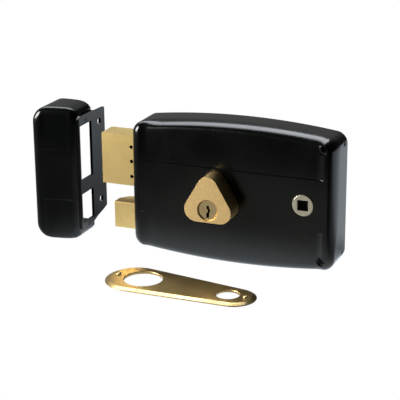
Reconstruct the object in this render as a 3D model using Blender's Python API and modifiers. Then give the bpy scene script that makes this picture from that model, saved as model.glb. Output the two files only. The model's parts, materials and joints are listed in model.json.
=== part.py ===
"""Rim night latch with its keep and outer escutcheon, as separate pieces.

The origin is the middle of the lock case's rear face. +X runs from the bolts to the spindle,
+Y into the door and +Z up. Lengths are written in millimetres and scaled by MM.
"""
import math

import bmesh
import bpy
from mathutils import Matrix, Vector

MM = 0.001
GAP = 0.3                      # between pieces that touch

# lock case
HALF_LENGTH = 70.0
HALF_HEIGHT_MID, HALF_HEIGHT_END = 47.5, 42.5
CASE_DEPTH = 27.5
CASE_CORNER = 8.0
CASE_WALL = 2.0
FRONT_EDGE = 3.6
BAND_HALF = 17.4               # half height of the raised middle band
PANEL_STEP = 0.5

# cylinder and spindle
KEY_X, KEY_Z = -10.0, -6.2
SPINDLE_X = 49.5
SPINDLE_SQUARE = 7.0
PLUG_RADIUS = 6.5
CYLINDER_FRONT, CYLINDER_REAR = -41.5, -14.0
PIN_PITCH = 4.0
PIN_COUNT = 5

# gear train, module 1: key turns twice for the whole throw
MODULE = 1.0
DRIVE_TEETH, TRANSFER_TEETH, PINION_TEETH = 12, 24, 8
TRANSFER_Z = KEY_Z + MODULE * (DRIVE_TEETH + TRANSFER_TEETH) / 2
DRIVE_SHIFT, PINION_SHIFT = 0.3, 0.5
RACK_LINE = TRANSFER_Z + MODULE * (PINION_TEETH / 2 + PINION_SHIFT)
GEAR_LAYER = (-12.4, -9.6)
BOLT_THROW = 2 * 2 * math.pi * MODULE * PINION_TEETH / 2 * DRIVE_TEETH / TRANSFER_TEETH

# bolts
BOLT_FRONT, BOLT_BACK = -20.5, -4.5
DEAD_X, DEAD_Z = (-94.7, -54.7), (-3.0, 32.0)
DOT_X = -73.0                  # small witness holes drilled in the deadbolt
LATCH_X, LATCH_Z = (-86.5, -58.0), (-33.7, -15.5)
LATCH_THROW = 16.0
SPRING_SEAT_X = -32.0
SPRING_Y, SPRING_Z = -17.5, -24.0

# keep
KEEP_LEFT, KEEP_FACE = -144.0, -110.5
KEEP_PLATE = 2.0
KEEP_FRONT, KEEP_FRONT_AT_FACE = -27.5, -22.5

# escutcheon, lying in front of the lock with its raised side up
PLATE_BIG, PLATE_SMALL = (-41.4, -73.4), (18.4, -78.0)
PLATE_BACK, PLATE_THICK = -47.5, 1.8
BIG_HOLE, SMALL_HOLE = 12.4, 7.3

# fixings, as (x, z) unless noted
CASE_HOLES = [(61.5, 37.0), (61.5, -37.0)]
CASE_HOLE_RADIUS = 2.75
SIDE_SCREWS = [(69.0, -6.0, z) for z in (-37.0, 37.0)]       # (x, y, z)
OUTER_SCREWS = [(KEY_X - 8.8, 0.5), (KEY_X + 8.8, 0.5)]
EARS = [(KEY_X - 21.0, -8.0), (KEY_X + 21.0, -8.0)]
SLOT_Z = 24.0
GEAR_POST, SLOT_POST = (KEY_X, TRANSFER_Z), (KEY_X - 2.0, SLOT_Z)
LATCH_POSTS = {"left": (-50.0, -37.8), "right": (10.0, -37.8)}
TAIL_RIVETS_X = (-64.2, -57.8)
LATCH_RIVET = (-65.0, -23.5)
KEEP_RIVETS = [(-12.0, 36.9), (-12.0, -36.9)]                # (y, z)

part_collection = bpy.data.collections.new("rim_night_latch")
cutter_collection = bpy.data.collections.new("cutters")
material_library = {}


def clear_scene():
    for item in list(bpy.data.objects):
        bpy.data.objects.remove(item, do_unlink=True)
    for holder in (part_collection, cutter_collection):
        bpy.context.scene.collection.children.link(holder)


def make_material(name, color, metallic, roughness):
    finish = bpy.data.materials.new(name)
    finish.use_nodes = True
    shader = finish.node_tree.nodes["Principled BSDF"]
    shader.inputs["Base Color"].default_value = (*color, 1.0)
    shader.inputs["Metallic"].default_value = metallic
    shader.inputs["Roughness"].default_value = roughness
    material_library[name] = finish


def add_piece(name, mesh, material, origin=(0, 0, 0), cutter=False):
    """Put a mesh given in world millimetres at its origin and return the object."""
    spot = Vector(origin)
    mesh.transform(Matrix.Scale(MM, 4) @ Matrix.Translation(-spot))
    piece = bpy.data.objects.new(name, mesh)
    piece.location = spot * MM
    if cutter:
        cutter_collection.objects.link(piece)
        piece.hide_render = True
        piece.display_type = "WIRE"
    else:
        part_collection.objects.link(piece)
        mesh.materials.append(material_library[material])
    return piece


def rounded(mesh, angle=35):
    mesh.shade_smooth()
    mesh.set_sharp_from_angle(angle=math.radians(angle))


def block_mesh(name, low, high):
    form = bmesh.new()
    size = Vector(high) - Vector(low)
    middle = (Vector(high) + Vector(low)) / 2
    place = Matrix.Translation(middle) @ Matrix.Diagonal((*size, 1))
    bmesh.ops.create_cube(form, size=1, matrix=place)
    mesh = bpy.data.meshes.new(name)
    form.to_mesh(mesh)
    form.free()
    return mesh


def block(name, low, high, material="steel", origin=(0, 0, 0), cutter=False):
    return add_piece(name, block_mesh(name, low, high), material, origin, cutter)


def arc(centre, radius, start, end, steps):
    """Points on an arc in degrees, both ends included."""
    turn = [math.radians(start + (end - start) * i / steps) for i in range(steps + 1)]
    return [(centre[0] + radius * math.cos(a), centre[1] + radius * math.sin(a)) for a in turn]


def circle(centre, radius, steps=32):
    """A closed ring of points, turned a little so that no two rings' corners line up."""
    start = 110.0 / steps
    return arc(centre, radius, start, start + 360, steps)[:-1]


def rectangle(x0, x1, z0, z1):
    return [(x0, z0), (x1, z0), (x1, z1), (x0, z1)]


TURN_TO_PLANE = {
    "XZ": Matrix.Rotation(math.radians(90), 4, "X"),
    "XY": Matrix.Identity(4),
    "YZ": Matrix(((0, 0, 1, 0), (1, 0, 0, 0), (0, 1, 0, 0), (0, 0, 0, 1))),
}
AXIS_OF_PLANE = {"XZ": (0, 1, 0), "XY": (0, 0, 1), "YZ": (1, 0, 0)}


def outline_mesh(name, outlines, low, high, plane="XZ"):
    """A flat outline with holes as a filled 2D curve, between two depths of its plane."""
    curve = bpy.data.curves.new(name, "CURVE")
    curve.dimensions = "2D"
    curve.fill_mode = "BOTH"
    curve.extrude = (high - low) / 2
    for outline in outlines:
        line = curve.splines.new("POLY")
        line.points.add(len(outline) - 1)
        for point, (u, v) in zip(line.points, outline):
            point.co = (u, v, 0, 1)
        line.use_cyclic_u = True
    holder = bpy.data.objects.new(name, curve)
    bpy.context.scene.collection.objects.link(holder)
    depsgraph = bpy.context.evaluated_depsgraph_get()
    mesh = bpy.data.meshes.new_from_object(holder.evaluated_get(depsgraph))
    bpy.data.objects.remove(holder, do_unlink=True)
    form = bmesh.new()
    form.from_mesh(mesh)
    bmesh.ops.remove_doubles(form, verts=form.verts, dist=0.0001)
    bmesh.ops.dissolve_limit(form, angle_limit=math.radians(0.5), verts=form.verts, edges=form.edges)
    middle = Vector(AXIS_OF_PLANE[plane]) * (low + high) / 2
    bmesh.ops.transform(form, matrix=Matrix.Translation(middle) @ TURN_TO_PLANE[plane], verts=form.verts)
    bmesh.ops.recalc_face_normals(form, faces=form.faces)
    form.to_mesh(mesh)
    form.free()
    mesh.name = name
    return mesh


def flat(name, outlines, low, high, material="steel", plane="XZ", origin=(0, 0, 0), cutter=False):
    mesh = outline_mesh(name, outlines, low, high, plane)
    rounded(mesh)
    return add_piece(name, mesh, material, origin, cutter)


def turned(name, profile, centre, material="steel", segments=32, cutter=False):
    """Turn (radius, y) points about an axis along Y; the profile runs from the front backwards."""
    mesh = bpy.data.meshes.new(name)
    points = [(radius * MM, 0, -y * MM) for radius, y in profile]
    closed = min(radius for radius, _ in profile) > 0
    edges = [(i, i + 1) for i in range(len(points) - 1)]
    if closed:
        edges.append((len(points) - 1, 0))
    mesh.from_pydata(points, edges, [])
    piece = bpy.data.objects.new(name, mesh)
    piece.location = Vector((centre[0], 0, centre[1])) * MM
    piece.rotation_euler.x = math.radians(90)
    screw = piece.modifiers.new("turn", "SCREW")
    screw.steps = segments
    screw.render_steps = segments
    screw.use_merge_vertices = True
    screw.merge_threshold = 0.000001
    screw.use_smooth_shade = True
    if cutter:
        cutter_collection.objects.link(piece)
        piece.hide_render = True
        piece.display_type = "WIRE"
    else:
        part_collection.objects.link(piece)
        mesh.materials.append(material_library[material])
    return piece


def rod(name, centre, radius, front, back, material="steel", segments=16, cutter=False):
    profile = [(0, front), (radius, front), (radius, back), (0, back)]
    return turned(name, profile, centre, material, segments, cutter)


def tube(name, centre, inner, outer, front, back, material="steel", segments=24):
    profile = [(outer, front), (outer, back), (inner, back), (inner, front)]
    return turned(name, profile, centre, material, segments)


def combine(piece, tool, operation="DIFFERENCE"):
    change = piece.modifiers.new(operation.lower(), "BOOLEAN")
    change.operation = operation
    change.solver = "EXACT"
    change.object = tool


def coil(name, axis, start, end, radius, wire, turns, centre, material="spring_steel"):
    """A wire coil along X, Y or Z with filled ends, welded into one mesh."""
    curve = bpy.data.curves.new(name, "CURVE")
    curve.dimensions = "3D"
    curve.bevel_depth = wire
    curve.bevel_resolution = 0
    curve.use_fill_caps = True
    count = int(turns * 10)
    line = curve.splines.new("POLY")
    line.points.add(count)
    for i, point in enumerate(line.points):
        angle = 2 * math.pi * turns * i / count
        along = start + (end - start) * i / count
        side, up = radius * math.cos(angle), radius * math.sin(angle)
        if axis == "X":
            place = (along, centre[0] + side, centre[1] + up)
        elif axis == "Y":
            place = (centre[0] + side, along, centre[1] + up)
        else:
            place = (centre[0] + side, centre[1] + up, along)
        point.co = (*place, 1)
    holder = bpy.data.objects.new(name, curve)
    bpy.context.scene.collection.objects.link(holder)
    depsgraph = bpy.context.evaluated_depsgraph_get()
    mesh = bpy.data.meshes.new_from_object(holder.evaluated_get(depsgraph))
    bpy.data.objects.remove(holder, do_unlink=True)
    form = bmesh.new()
    form.from_mesh(mesh)
    bmesh.ops.remove_doubles(form, verts=form.verts, dist=0.0001)
    bmesh.ops.recalc_face_normals(form, faces=form.faces)
    form.to_mesh(mesh)
    form.free()
    rounded(mesh, 80)
    return add_piece(name, mesh, material)


def bowed_height(x, inset=0.0):
    """Half height of the case at x: both long edges bow out in the middle."""
    rise = HALF_HEIGHT_MID - HALF_HEIGHT_END
    bow = (HALF_LENGTH ** 2 + rise ** 2) / (2 * rise)
    return HALF_HEIGHT_MID - bow + math.sqrt(bow ** 2 - x ** 2) - inset


def case_outline(inset=0.0):
    """Bowed rectangle with round corners, counterclockwise from the lower right corner."""
    reach, corner = HALF_LENGTH - inset, max(CASE_CORNER - inset, 1.0)
    inner_x = reach - corner
    inner_z = bowed_height(HALF_LENGTH, inset) - corner + 0.6
    top = []
    for start in (0, 90):
        centre_x = inner_x if start == 0 else -inner_x
        top += arc((centre_x, inner_z), corner, start, start + 90, 5)
        if start == 0:
            steps = 10
            xs = [inner_x - 2 * inner_x * i / steps for i in range(1, steps)]
            top += [(x, bowed_height(x, inset)) for x in xs]
    return top + [(-x, -z) for x, z in top]


def involute_outline(teeth, shift, thinning, tip_limit, centre, tooth_up):
    """Gear outline: each flank is an involute of a 20 degree tooth."""
    pressure = math.radians(20)
    pitch = MODULE * teeth / 2
    base = pitch * math.cos(pressure)
    tip = min(pitch + MODULE * (1 + shift), tip_limit)
    root = pitch - MODULE * (1.25 - shift)
    thickness = MODULE * (math.pi / 2 + 2 * shift * math.tan(pressure)) - thinning
    half_base = thickness / (2 * pitch) + math.tan(pressure) - pressure

    def half_angle(radius):
        lean = math.acos(min(1.0, base / radius))
        return half_base - (math.tan(lean) - lean)

    low = max(base, root)
    radii = [low + (tip - low) * i / 3 for i in range(4)]
    points = []
    first = math.pi / 2 if tooth_up else math.pi / 2 + math.pi / teeth
    for tooth in range(teeth):
        middle = first + 2 * math.pi * tooth / teeth
        side = [(root, -half_angle(low))] if root < low - 0.01 else []
        side += [(radius, -half_angle(radius)) for radius in radii]
        for radius, angle in side + [(r, -a) for r, a in reversed(side)]:
            angle_now = middle + angle
            points.append((centre[0] + radius * math.cos(angle_now),
                           centre[1] + radius * math.sin(angle_now)))
    return points


def rack_points(first, last, thinning):
    """Teeth pointing down along a rack's lower edge, from left to right."""
    slope = math.tan(math.radians(20))
    root, tip = RACK_LINE + 1.25 * MODULE, RACK_LINE - MODULE
    half = math.pi / 4 * MODULE - thinning / 2
    points = []
    for tooth in range(first, last + 1):
        middle = KEY_X + math.pi * MODULE * (tooth + 0.5)
        at_root, at_tip = half + 1.25 * slope * MODULE, half - slope * MODULE
        points += [(middle - at_root, root), (middle - at_tip, tip),
                   (middle + at_tip, tip), (middle + at_root, root)]
    return points


# ---------------------------------------------------------------- lock case

def make_case_cover():
    outline = case_outline()
    form = bmesh.new()
    front = [form.verts.new((x, -CASE_DEPTH, z)) for x, z in outline]
    back = [form.verts.new((x, 0, z)) for x, z in outline]
    form.faces.new(front)
    for i in range(len(outline)):
        j = (i + 1) % len(outline)
        form.faces.new((front[i], back[i], back[j], front[j]))
    bmesh.ops.recalc_face_normals(form, faces=form.faces)
    rim = [e for e in form.edges if all(v in front for v in e.verts)]
    bmesh.ops.bevel(form, geom=rim, offset=FRONT_EDGE, segments=4, profile=0.5, affect="EDGES")
    mesh = bpy.data.meshes.new("case_cover")
    form.to_mesh(mesh)
    form.free()
    rounded(mesh)
    cover = add_piece("case_cover", mesh, "black_enamel")
    wall = cover.modifiers.new("wall", "SOLIDIFY")
    wall.thickness = CASE_WALL * MM
    wall.offset = -1
    wall.use_even_offset = True
    panel_top = 60.0
    for side in (1, -1):
        z_low, z_high = sorted((side * BAND_HALF, side * panel_top))
        combine(cover, block(f"cut_panel_{side}", (-65, -CASE_DEPTH - 5, z_low),
                             (63.5, -CASE_DEPTH + PANEL_STEP, z_high), cutter=True))
    combine(cover, flat("cut_cylinder_hole", [cylinder_outline(GAP)], -30, -24, cutter=True))
    combine(cover, rod("cut_hub_hole", (SPINDLE_X, 0), 7.0 + GAP, -30, -24, segments=32, cutter=True))
    clear = 0.3
    combine(cover, block("cut_dead_window", (-80, BOLT_FRONT - clear, DEAD_Z[0] - clear),
                         (-60, BOLT_BACK + clear, DEAD_Z[1] + clear), cutter=True))
    combine(cover, block("cut_latch_window", (-80, BOLT_FRONT - clear, LATCH_Z[0] - clear),
                         (-60, BOLT_BACK + clear, LATCH_Z[1] + clear), cutter=True))
    for i, (x, z) in enumerate(CASE_HOLES):
        combine(cover, rod(f"cut_case_hole_{i}", (x, z), CASE_HOLE_RADIUS, -30, -24, cutter=True))
    for i, (x, y, z) in enumerate(SIDE_SCREWS):
        hole = outline_mesh("hole", [circle((y, z), 1.5 + GAP, 12)], x - 6, x + 6, "YZ")
        combine(cover, add_piece(f"cut_side_hole_{i}", hole, None, cutter=True))


def make_back_plate():
    holes = [circle((SPINDLE_X, 0), 7.0 + GAP),
             circle((KEY_X, KEY_Z), 5.0)]
    holes += [circle(spot, CASE_HOLE_RADIUS, 16) for spot in CASE_HOLES]
    holes += [circle(spot, 1.7, 12) for spot in OUTER_SCREWS]
    holes += [circle(spot, 1.3, 12) for spot in (GEAR_POST, SLOT_POST, *LATCH_POSTS.values())]
    flat("back_plate", [case_outline(CASE_WALL + GAP)] + holes, -2.0, 0.0, "zinc_steel")


def make_forend():
    """Inner steel plate that guides both bolts behind the case wall."""
    reach = bowed_height(HALF_LENGTH) - CASE_CORNER
    clear = 0.25
    outer = rectangle(-23.6, -2.3, -reach, reach)
    windows = [rectangle(BOLT_FRONT - clear, BOLT_BACK + clear, low - clear, high + clear)
               for low, high in (DEAD_Z, LATCH_Z)]
    flat("forend_plate", [outer] + windows, -67.6, -65.8, "zinc_steel", "YZ")


def make_posts():
    """Riveted posts: gear axle, bolt guide and two latch guides."""
    foot = [(1.0, -2.0 - GAP), (1.0, 0), (0, 0)]
    for name, spot, top in (("gear_post", GEAR_POST, -13.4), ("bolt_guide_post", SLOT_POST, -9.2)):
        turned(name, [(0, top), (1.5, top), (1.5, -2.0 - GAP), *foot], spot, "steel", 16)
    for side, spot in LATCH_POSTS.items():
        head = [(0, -13.4), (3.4, -13.4), (3.4, -12.8), (2.4, -12.8), (2.4, -2.0 - GAP)]
        turned(f"latch_guide_{side}", head + foot, spot, "steel", 16)


def make_case_fasteners():
    for i, (x, z) in enumerate(CASE_HOLES):
        tube(f"fixing_sleeve_{'upper' if z > 0 else 'lower'}", (x, z), CASE_HOLE_RADIUS, 3.6, -25.1, -2.3)
    for x, y, z in SIDE_SCREWS:
        level = "upper" if z > 0 else "lower"
        mesh = outline_mesh("screw", [circle((y, z), 1.5, 12)], x - 3.5, x + 0.4, "YZ")
        rounded(mesh)
        add_piece(f"cover_screw_{level}", mesh, "steel")


# ---------------------------------------------------------------- key cylinder

def cylinder_outline(grow=0.0):
    """Rounded triangle with its point up, as the hull of three circles."""
    lower, upper = 8.0 + grow, 7.0 + grow
    left, right, top = (KEY_X - 8.1, -6.5), (KEY_X + 8.1, -6.5), (KEY_X, 9.1)
    run, climb = right[0] - top[0], top[1] - right[1]
    lean = math.degrees(math.atan2(run, climb) - math.asin((lower - upper) / math.hypot(run, climb)))
    return (arc(right, lower, -90, lean, 8) + arc(top, upper, lean, 180 - lean, 8)
            + arc(left, lower, 180 - lean, 270, 8))


def pin_places():
    return [CYLINDER_FRONT + 4.5 + PIN_PITCH * i for i in range(PIN_COUNT)]


def make_inner_cylinder():
    body = flat("inner_cylinder_body", [cylinder_outline()], CYLINDER_FRONT, CYLINDER_REAR, "brass_satin")
    ears = flat("cylinder_ears", [ear_outline()], -25.1, -22.4, cutter=True)
    combine(body, ears, "UNION")
    for i, y in enumerate(pin_places()):
        mesh = outline_mesh("chamber", [circle((KEY_X, y), 1.5, 12)], KEY_Z, 13.2, "XY")
        combine(body, add_piece(f"cut_chamber_{i}", mesh, None, cutter=True))
    bore = [(0, -45.0), (7.1, -45.0), (7.1, CYLINDER_FRONT + 1.2), (PLUG_RADIUS + 0.1, CYLINDER_FRONT + 1.2),
            (PLUG_RADIUS + 0.1, -10.0), (0, -10.0)]
    combine(body, turned("cut_plug_bore", bore, (KEY_X, KEY_Z), segments=40, cutter=True))
    for spot in EARS:
        combine(body, rod(f"cut_ear_{spot[0]}", spot, 1.8, -26, -21, segments=16, cutter=True))
    face, tail_end = CYLINDER_FRONT + 1.0, GEAR_LAYER[1] + GAP
    plug_profile = [(0, face), (PLUG_RADIUS - 0.3, face), (PLUG_RADIUS, face + 0.3),
                    (PLUG_RADIUS, CYLINDER_REAR), (3.5, CYLINDER_REAR), (3.5, tail_end), (0, tail_end)]
    plug = turned("inner_plug", plug_profile, (KEY_X, KEY_Z), "brass_satin", 40)
    combine(plug, flat("cut_keyway", [keyway_outline()], -45, -17.0, cutter=True))
    for i, y in enumerate(pin_places()):
        mesh = outline_mesh("plug_chamber", [circle((KEY_X, y), 1.5, 12)], KEY_Z - 2.0, KEY_Z + 9, "XY")
        combine(plug, add_piece(f"cut_plug_chamber_{i}", mesh, None, cutter=True))


def ear_outline():
    """Oval flange behind the cover wall, wide enough for a stud each side."""
    left, right = EARS
    return arc(right, 4.2, -90, 90, 8) + [(KEY_X + 10, 1.5), (KEY_X - 10, 1.5)] + arc(left, 4.2, 90, 270, 8)


def keyway_outline():
    """Zigzag key slot seen from the front."""
    steps = [(-0.9, 3.0), (-0.9, 0.9), (-0.1, 0.3), (-0.1, -1.4), (-1.1, -2.2), (-1.1, -5.2),
             (0.9, -5.2), (0.9, -1.6), (1.5, -0.9), (1.5, 0.5), (0.9, 1.2), (0.9, 3.0)]
    return [(KEY_X + x, KEY_Z + z) for x, z in steps]


def make_pins():
    """Five stacks: key pin in the plug, driver pin and spring above the shear line."""
    cuts = [0.0, 1.1, 0.4, 1.5, 0.7]
    for i, (y, cut) in enumerate(zip(pin_places(), cuts), 1):
        shear = KEY_Z + PLUG_RADIUS
        lower = outline_mesh("key_pin", [circle((KEY_X, y), 1.3, 10)], KEY_Z - 0.4 - cut, shear - 0.35, "XY")
        rounded(lower)
        add_piece(f"key_pin_{i}", lower, "brass_satin")
        upper = outline_mesh("driver_pin", [circle((KEY_X, y), 1.3, 10)], shear + 0.35, shear + 4.4, "XY")
        rounded(upper)
        add_piece(f"driver_pin_{i}", upper, "steel")
        coil(f"pin_spring_{i}", "Z", shear + 5.0, 12.6, 0.95, 0.2, 4, (KEY_X, y))


def make_cylinder_fixings():
    for side, spot in zip(("left", "right"), EARS):
        rod(f"cylinder_stud_{side}", spot, 1.5, -25.2, -19.2, "steel", 12)
        flat(f"cylinder_nut_{side}", [circle(spot, 3.0, 6), circle(spot, 1.75, 16)], -22.1, -19.8)
    tube("plug_clip", (KEY_X, KEY_Z), 3.65, 6.2, -13.7, -12.8, "spring_steel", 24)


# ---------------------------------------------------------------- gear train

def make_gears():
    thin = 0.14
    key_axis, gear_axis = (KEY_X, KEY_Z), (KEY_X, TRANSFER_Z)
    drive = involute_outline(DRIVE_TEETH, DRIVE_SHIFT, thin, 7.2, key_axis, True)
    flat("drive_gear", [drive, circle(key_axis, 3.7, 20)], *GEAR_LAYER, "brass_satin", 
         origin=(KEY_X, -11, KEY_Z))
    big = involute_outline(TRANSFER_TEETH, -DRIVE_SHIFT, thin, 12.65, gear_axis, False)
    web_holes = [circle((KEY_X + 7 * math.cos(a), TRANSFER_Z + 7 * math.sin(a)), 1.6, 12)
                    for a in (math.radians(90 + 120 * i) for i in range(3))]
    flat("transfer_gear", [big, circle(gear_axis, 1.7, 16)] + web_holes, GEAR_LAYER[0], GEAR_LAYER[1] - GAP,
         "steel", origin=(KEY_X, -11, TRANSFER_Z))
    small = involute_outline(PINION_TEETH, PINION_SHIFT, thin, 5.2, gear_axis, True)
    flat("bolt_pinion", [small, circle(gear_axis, 1.7, 16)], GEAR_LAYER[1], -5.6, "steel",
         origin=(KEY_X, -8, TRANSFER_Z))


# ---------------------------------------------------------------- bolts

def make_deadbolt():
    low, high = (DEAD_X[0], BOLT_FRONT, DEAD_Z[0]), (DEAD_X[1], BOLT_BACK, DEAD_Z[1])
    bolt = block("deadbolt_head", low, high, "brass_satin")
    combine(bolt, block("cut_tail_seat", (-68.4, -9.1, 14.0), (-50, 0, 40), cutter=True))
    for i, z in enumerate((24.0, 14.0, 3.5)):
        combine(bolt, rod(f"cut_front_dot_{i}", (DOT_X, z), 1.25, -30, BOLT_FRONT + 3, segments=12,
                          cutter=True))
    mesh = outline_mesh("dot", [circle((DOT_X, -12.5), 1.25, 12)], 29, 40, "XY")
    combine(bolt, add_piece("cut_top_dot", mesh, None, cutter=True))
    for i, x in enumerate(TAIL_RIVETS_X):
        combine(bolt, rod(f"cut_rivet_{i}", (x, SLOT_Z), 1.8, -15.5, 0, segments=12, cutter=True))
    right, top = -3.4, 31.0
    root = RACK_LINE + 1.25 * MODULE
    teeth = rack_points(-10, 1, 0.14)
    tail = [(-68.0, root), *teeth, (right, root), (right, top), (-68.0, top)]
    slot_right, slot_half = SLOT_POST[0], 1.9
    slot_left = slot_right - BOLT_THROW
    slot = (arc((slot_right, SLOT_Z), slot_half, -90, 90, 8)
            + arc((slot_left, SLOT_Z), slot_half, 90, 270, 8))
    rivet_holes = [circle((x, SLOT_Z), 1.8, 12) for x in TAIL_RIVETS_X]
    flat("deadbolt_tail", [tail, slot] + rivet_holes, -8.8, -6.2, "steel")
    for i, x in enumerate(TAIL_RIVETS_X, 1):
        profile = [(0, -15.0), (1.5, -15.0), (1.5, -5.9), (2.6, -5.9), (2.6, -5.2), (0, -5.2)]
        turned(f"deadbolt_rivet_{i}", profile, (x, SLOT_Z), "steel", 12)


def make_latch():
    bolt_outline = [(LATCH_X[1], BOLT_FRONT), (LATCH_X[1], BOLT_BACK), (-75.5, BOLT_BACK)]
    bolt_outline += [(-82.0, -7.2), (LATCH_X[0], -12.5), (LATCH_X[0], BOLT_FRONT)]
    bolt = flat("latch_head", [bolt_outline], LATCH_Z[0], LATCH_Z[1], "brass_satin", "XY")
    combine(bolt, block("cut_latch_seat", (-72.4, -12.8, -30.3), (-50, -10.2, -16.7), cutter=True))
    combine(bolt, rod("cut_latch_pin", LATCH_RIVET, 1.8, -17, 0, segments=12, cutter=True))
    rod("latch_rivet", LATCH_RIVET, 1.5, -16.5, BOLT_BACK - 0.2, "steel", 12)
    finger_low, finger_high = 20.4, 27.0
    tail = [(-72.0, -30.0), (25.0, -30.0), (25.0, -finger_high), (44.0, -finger_high), (44.0, -finger_low),
            (25.0, -finger_low), (25.0, finger_low), (44.0, finger_low), (44.0, finger_high),
            (18.0, finger_high), (18.0, -17.0), (-72.0, -17.0)]
    plate = flat("latch_tail", [tail, circle(LATCH_RIVET, 1.8, 12)], -12.5, -10.5, "steel")
    for side in (1, -1):
        z_low, z_high = sorted((side * finger_low, side * finger_high))
        tab = block(f"join_tab_{side}", (41.0, -16.6, z_low), (44.0, -11.0, z_high), cutter=True)
        combine(plate, tab, "UNION")


def make_latch_spring():
    coil("latch_spring", "X", LATCH_X[1] + 0.8, SPRING_SEAT_X - 0.8, 3.5, 0.5, 7, (SPRING_Y, SPRING_Z))
    profile = [(-2.3, -34.6), (-2.3, -30.7), (-13.1, -30.7), (-13.1, -18.5), (-22.0, -18.5), (-22.0, -34.6)]
    flat("spring_stop", [profile], SPRING_SEAT_X, SPRING_SEAT_X + 2.5, "zinc_steel", "YZ")


# ---------------------------------------------------------------- spindle hub

def make_hub():
    axis = (SPINDLE_X, 0)
    hub = rod("spindle_hub", axis, 7.0, -CASE_DEPTH, 0, "nickel", 40)
    for side in (1, -1):
        arm = flat(f"join_arm_{side}", [arm_outline(side)], -16.5, -13.1, cutter=True)
        combine(hub, arm, "UNION")
    half = SPINDLE_SQUARE / 2
    low, high = (SPINDLE_X - half, -40, -half), (SPINDLE_X + half, 10, half)
    combine(hub, block("cut_spindle_square", low, high, cutter=True))
    coil("hub_spring", "Y", -24.4, -17.6, 8.2, 0.5, 3, axis)
    rod("hub_spring_post", (60.8, 0.0), 1.4, -23.5, -2.3, "steel", 12)


def arm_outline(side):
    """A follower arm that leans away from the bolt fingers, round at the nose."""
    reach, nose, root = 23.7, 2.5, 4.0
    lean = math.radians(120)
    along = Vector((math.cos(lean), math.sin(lean)))
    across = Vector((along.y, -along.x))
    tip = along * reach
    base = [across * root, across * -root]
    start = math.degrees(math.atan2(across.y, across.x))
    narrow = [along * (reach - 8) + across * 2.0, along * (reach - 8) - across * 2.0]
    points = [base[0], narrow[0]]
    points += [Vector(p) for p in arc(tip, nose, start, start + 180, 8)]
    points += [narrow[1], base[1]]
    return [(SPINDLE_X + p.x, side * p.y) for p in points]


# ---------------------------------------------------------------- outer cylinder

def make_outer_cylinder():
    """Round cylinder through the door, screwed to the back plate from inside the case."""
    body = rod("outer_cylinder_body", (KEY_X, -1.7), 12.0, GAP, 52.0, "brass_satin", 40)
    combine(body, rod("cut_outer_bore", (KEY_X, KEY_Z), PLUG_RADIUS + 0.1, -2, 60, segments=40, cutter=True))
    for i, spot in enumerate(OUTER_SCREWS, 1):
        combine(body, rod(f"cut_outer_screw_{i}", spot, 1.7, -1, 8.5, segments=12, cutter=True))
        profile = [(0, -4.0), (2.7, -4.0), (2.7, -2.3), (1.4, -2.3), (1.4, 8.0), (0, 8.0)]
        turned(f"outer_cylinder_screw_{i}", profile, spot, "steel", 16)
    profile = [(0, -7.8), (2.2, -7.8), (2.2, 1.0), (PLUG_RADIUS, 1.0), (PLUG_RADIUS, 51.2), (0, 51.2)]
    plug = turned("outer_plug", profile, (KEY_X, KEY_Z), "brass_satin", 40)
    combine(plug, flat("cut_outer_keyway", [keyway_outline()], 24, 60, cutter=True))


# ---------------------------------------------------------------- keep

def keep_outline(inset=0.0):
    """Bowed box seen from the front: full height in the middle, lower at the plate."""
    left, right = KEEP_LEFT + inset, KEEP_FACE - KEEP_PLATE - GAP
    corner = 11.0 - inset
    shoulder = [(0.0, 42.4), (1.6, 44.6), (4.2, 46.2), (8.0, 47.0), (13.0, 47.2), (18.5, 47.2)]
    top = [(right - back, height - inset) for back, height in shoulder]
    top += arc((left + corner, 46.4 - inset - corner), corner, 90, 180, 6)
    return top + [(x, -z) for x, z in reversed(top)]


def keep_solid(name, inset, cutter):
    """The bowed outline pushed out to a front face that falls away towards the plate."""
    outline = keep_outline(inset)
    if inset:
        past_edge = outline[0][0] + 5.0
        outline = [(past_edge, outline[0][1])] + outline + [(past_edge, outline[-1][1])]
    slope = (KEEP_FRONT_AT_FACE - KEEP_FRONT) / (KEEP_FACE + 138.0)
    back = 5.0 if inset else 0.0
    form = bmesh.new()
    front = [form.verts.new((x, KEEP_FRONT + slope * (x + 138.0) + inset, z)) for x, z in outline]
    rear = [form.verts.new((x, back, z)) for x, z in outline]
    count = len(outline)
    form.faces.new(front)
    form.faces.new(list(reversed(rear)))
    for i in range(count):
        form.faces.new((front[i], rear[i], rear[(i + 1) % count], front[(i + 1) % count]))
    bmesh.ops.recalc_face_normals(form, faces=form.faces)
    if not inset:
        on_plate = KEEP_FACE - KEEP_PLATE - GAP - 0.01
        rim = [e for e in form.edges
               if all(v in front for v in e.verts) and min(v.co.x for v in e.verts) < on_plate]
        bmesh.ops.bevel(form, geom=rim, offset=4.2, segments=4, profile=0.5, affect="EDGES",
                        clamp_overlap=True)
    mesh = bpy.data.meshes.new(name)
    form.to_mesh(mesh)
    form.free()
    rounded(mesh)
    return add_piece(name, mesh, "black_enamel", cutter=cutter)


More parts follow.
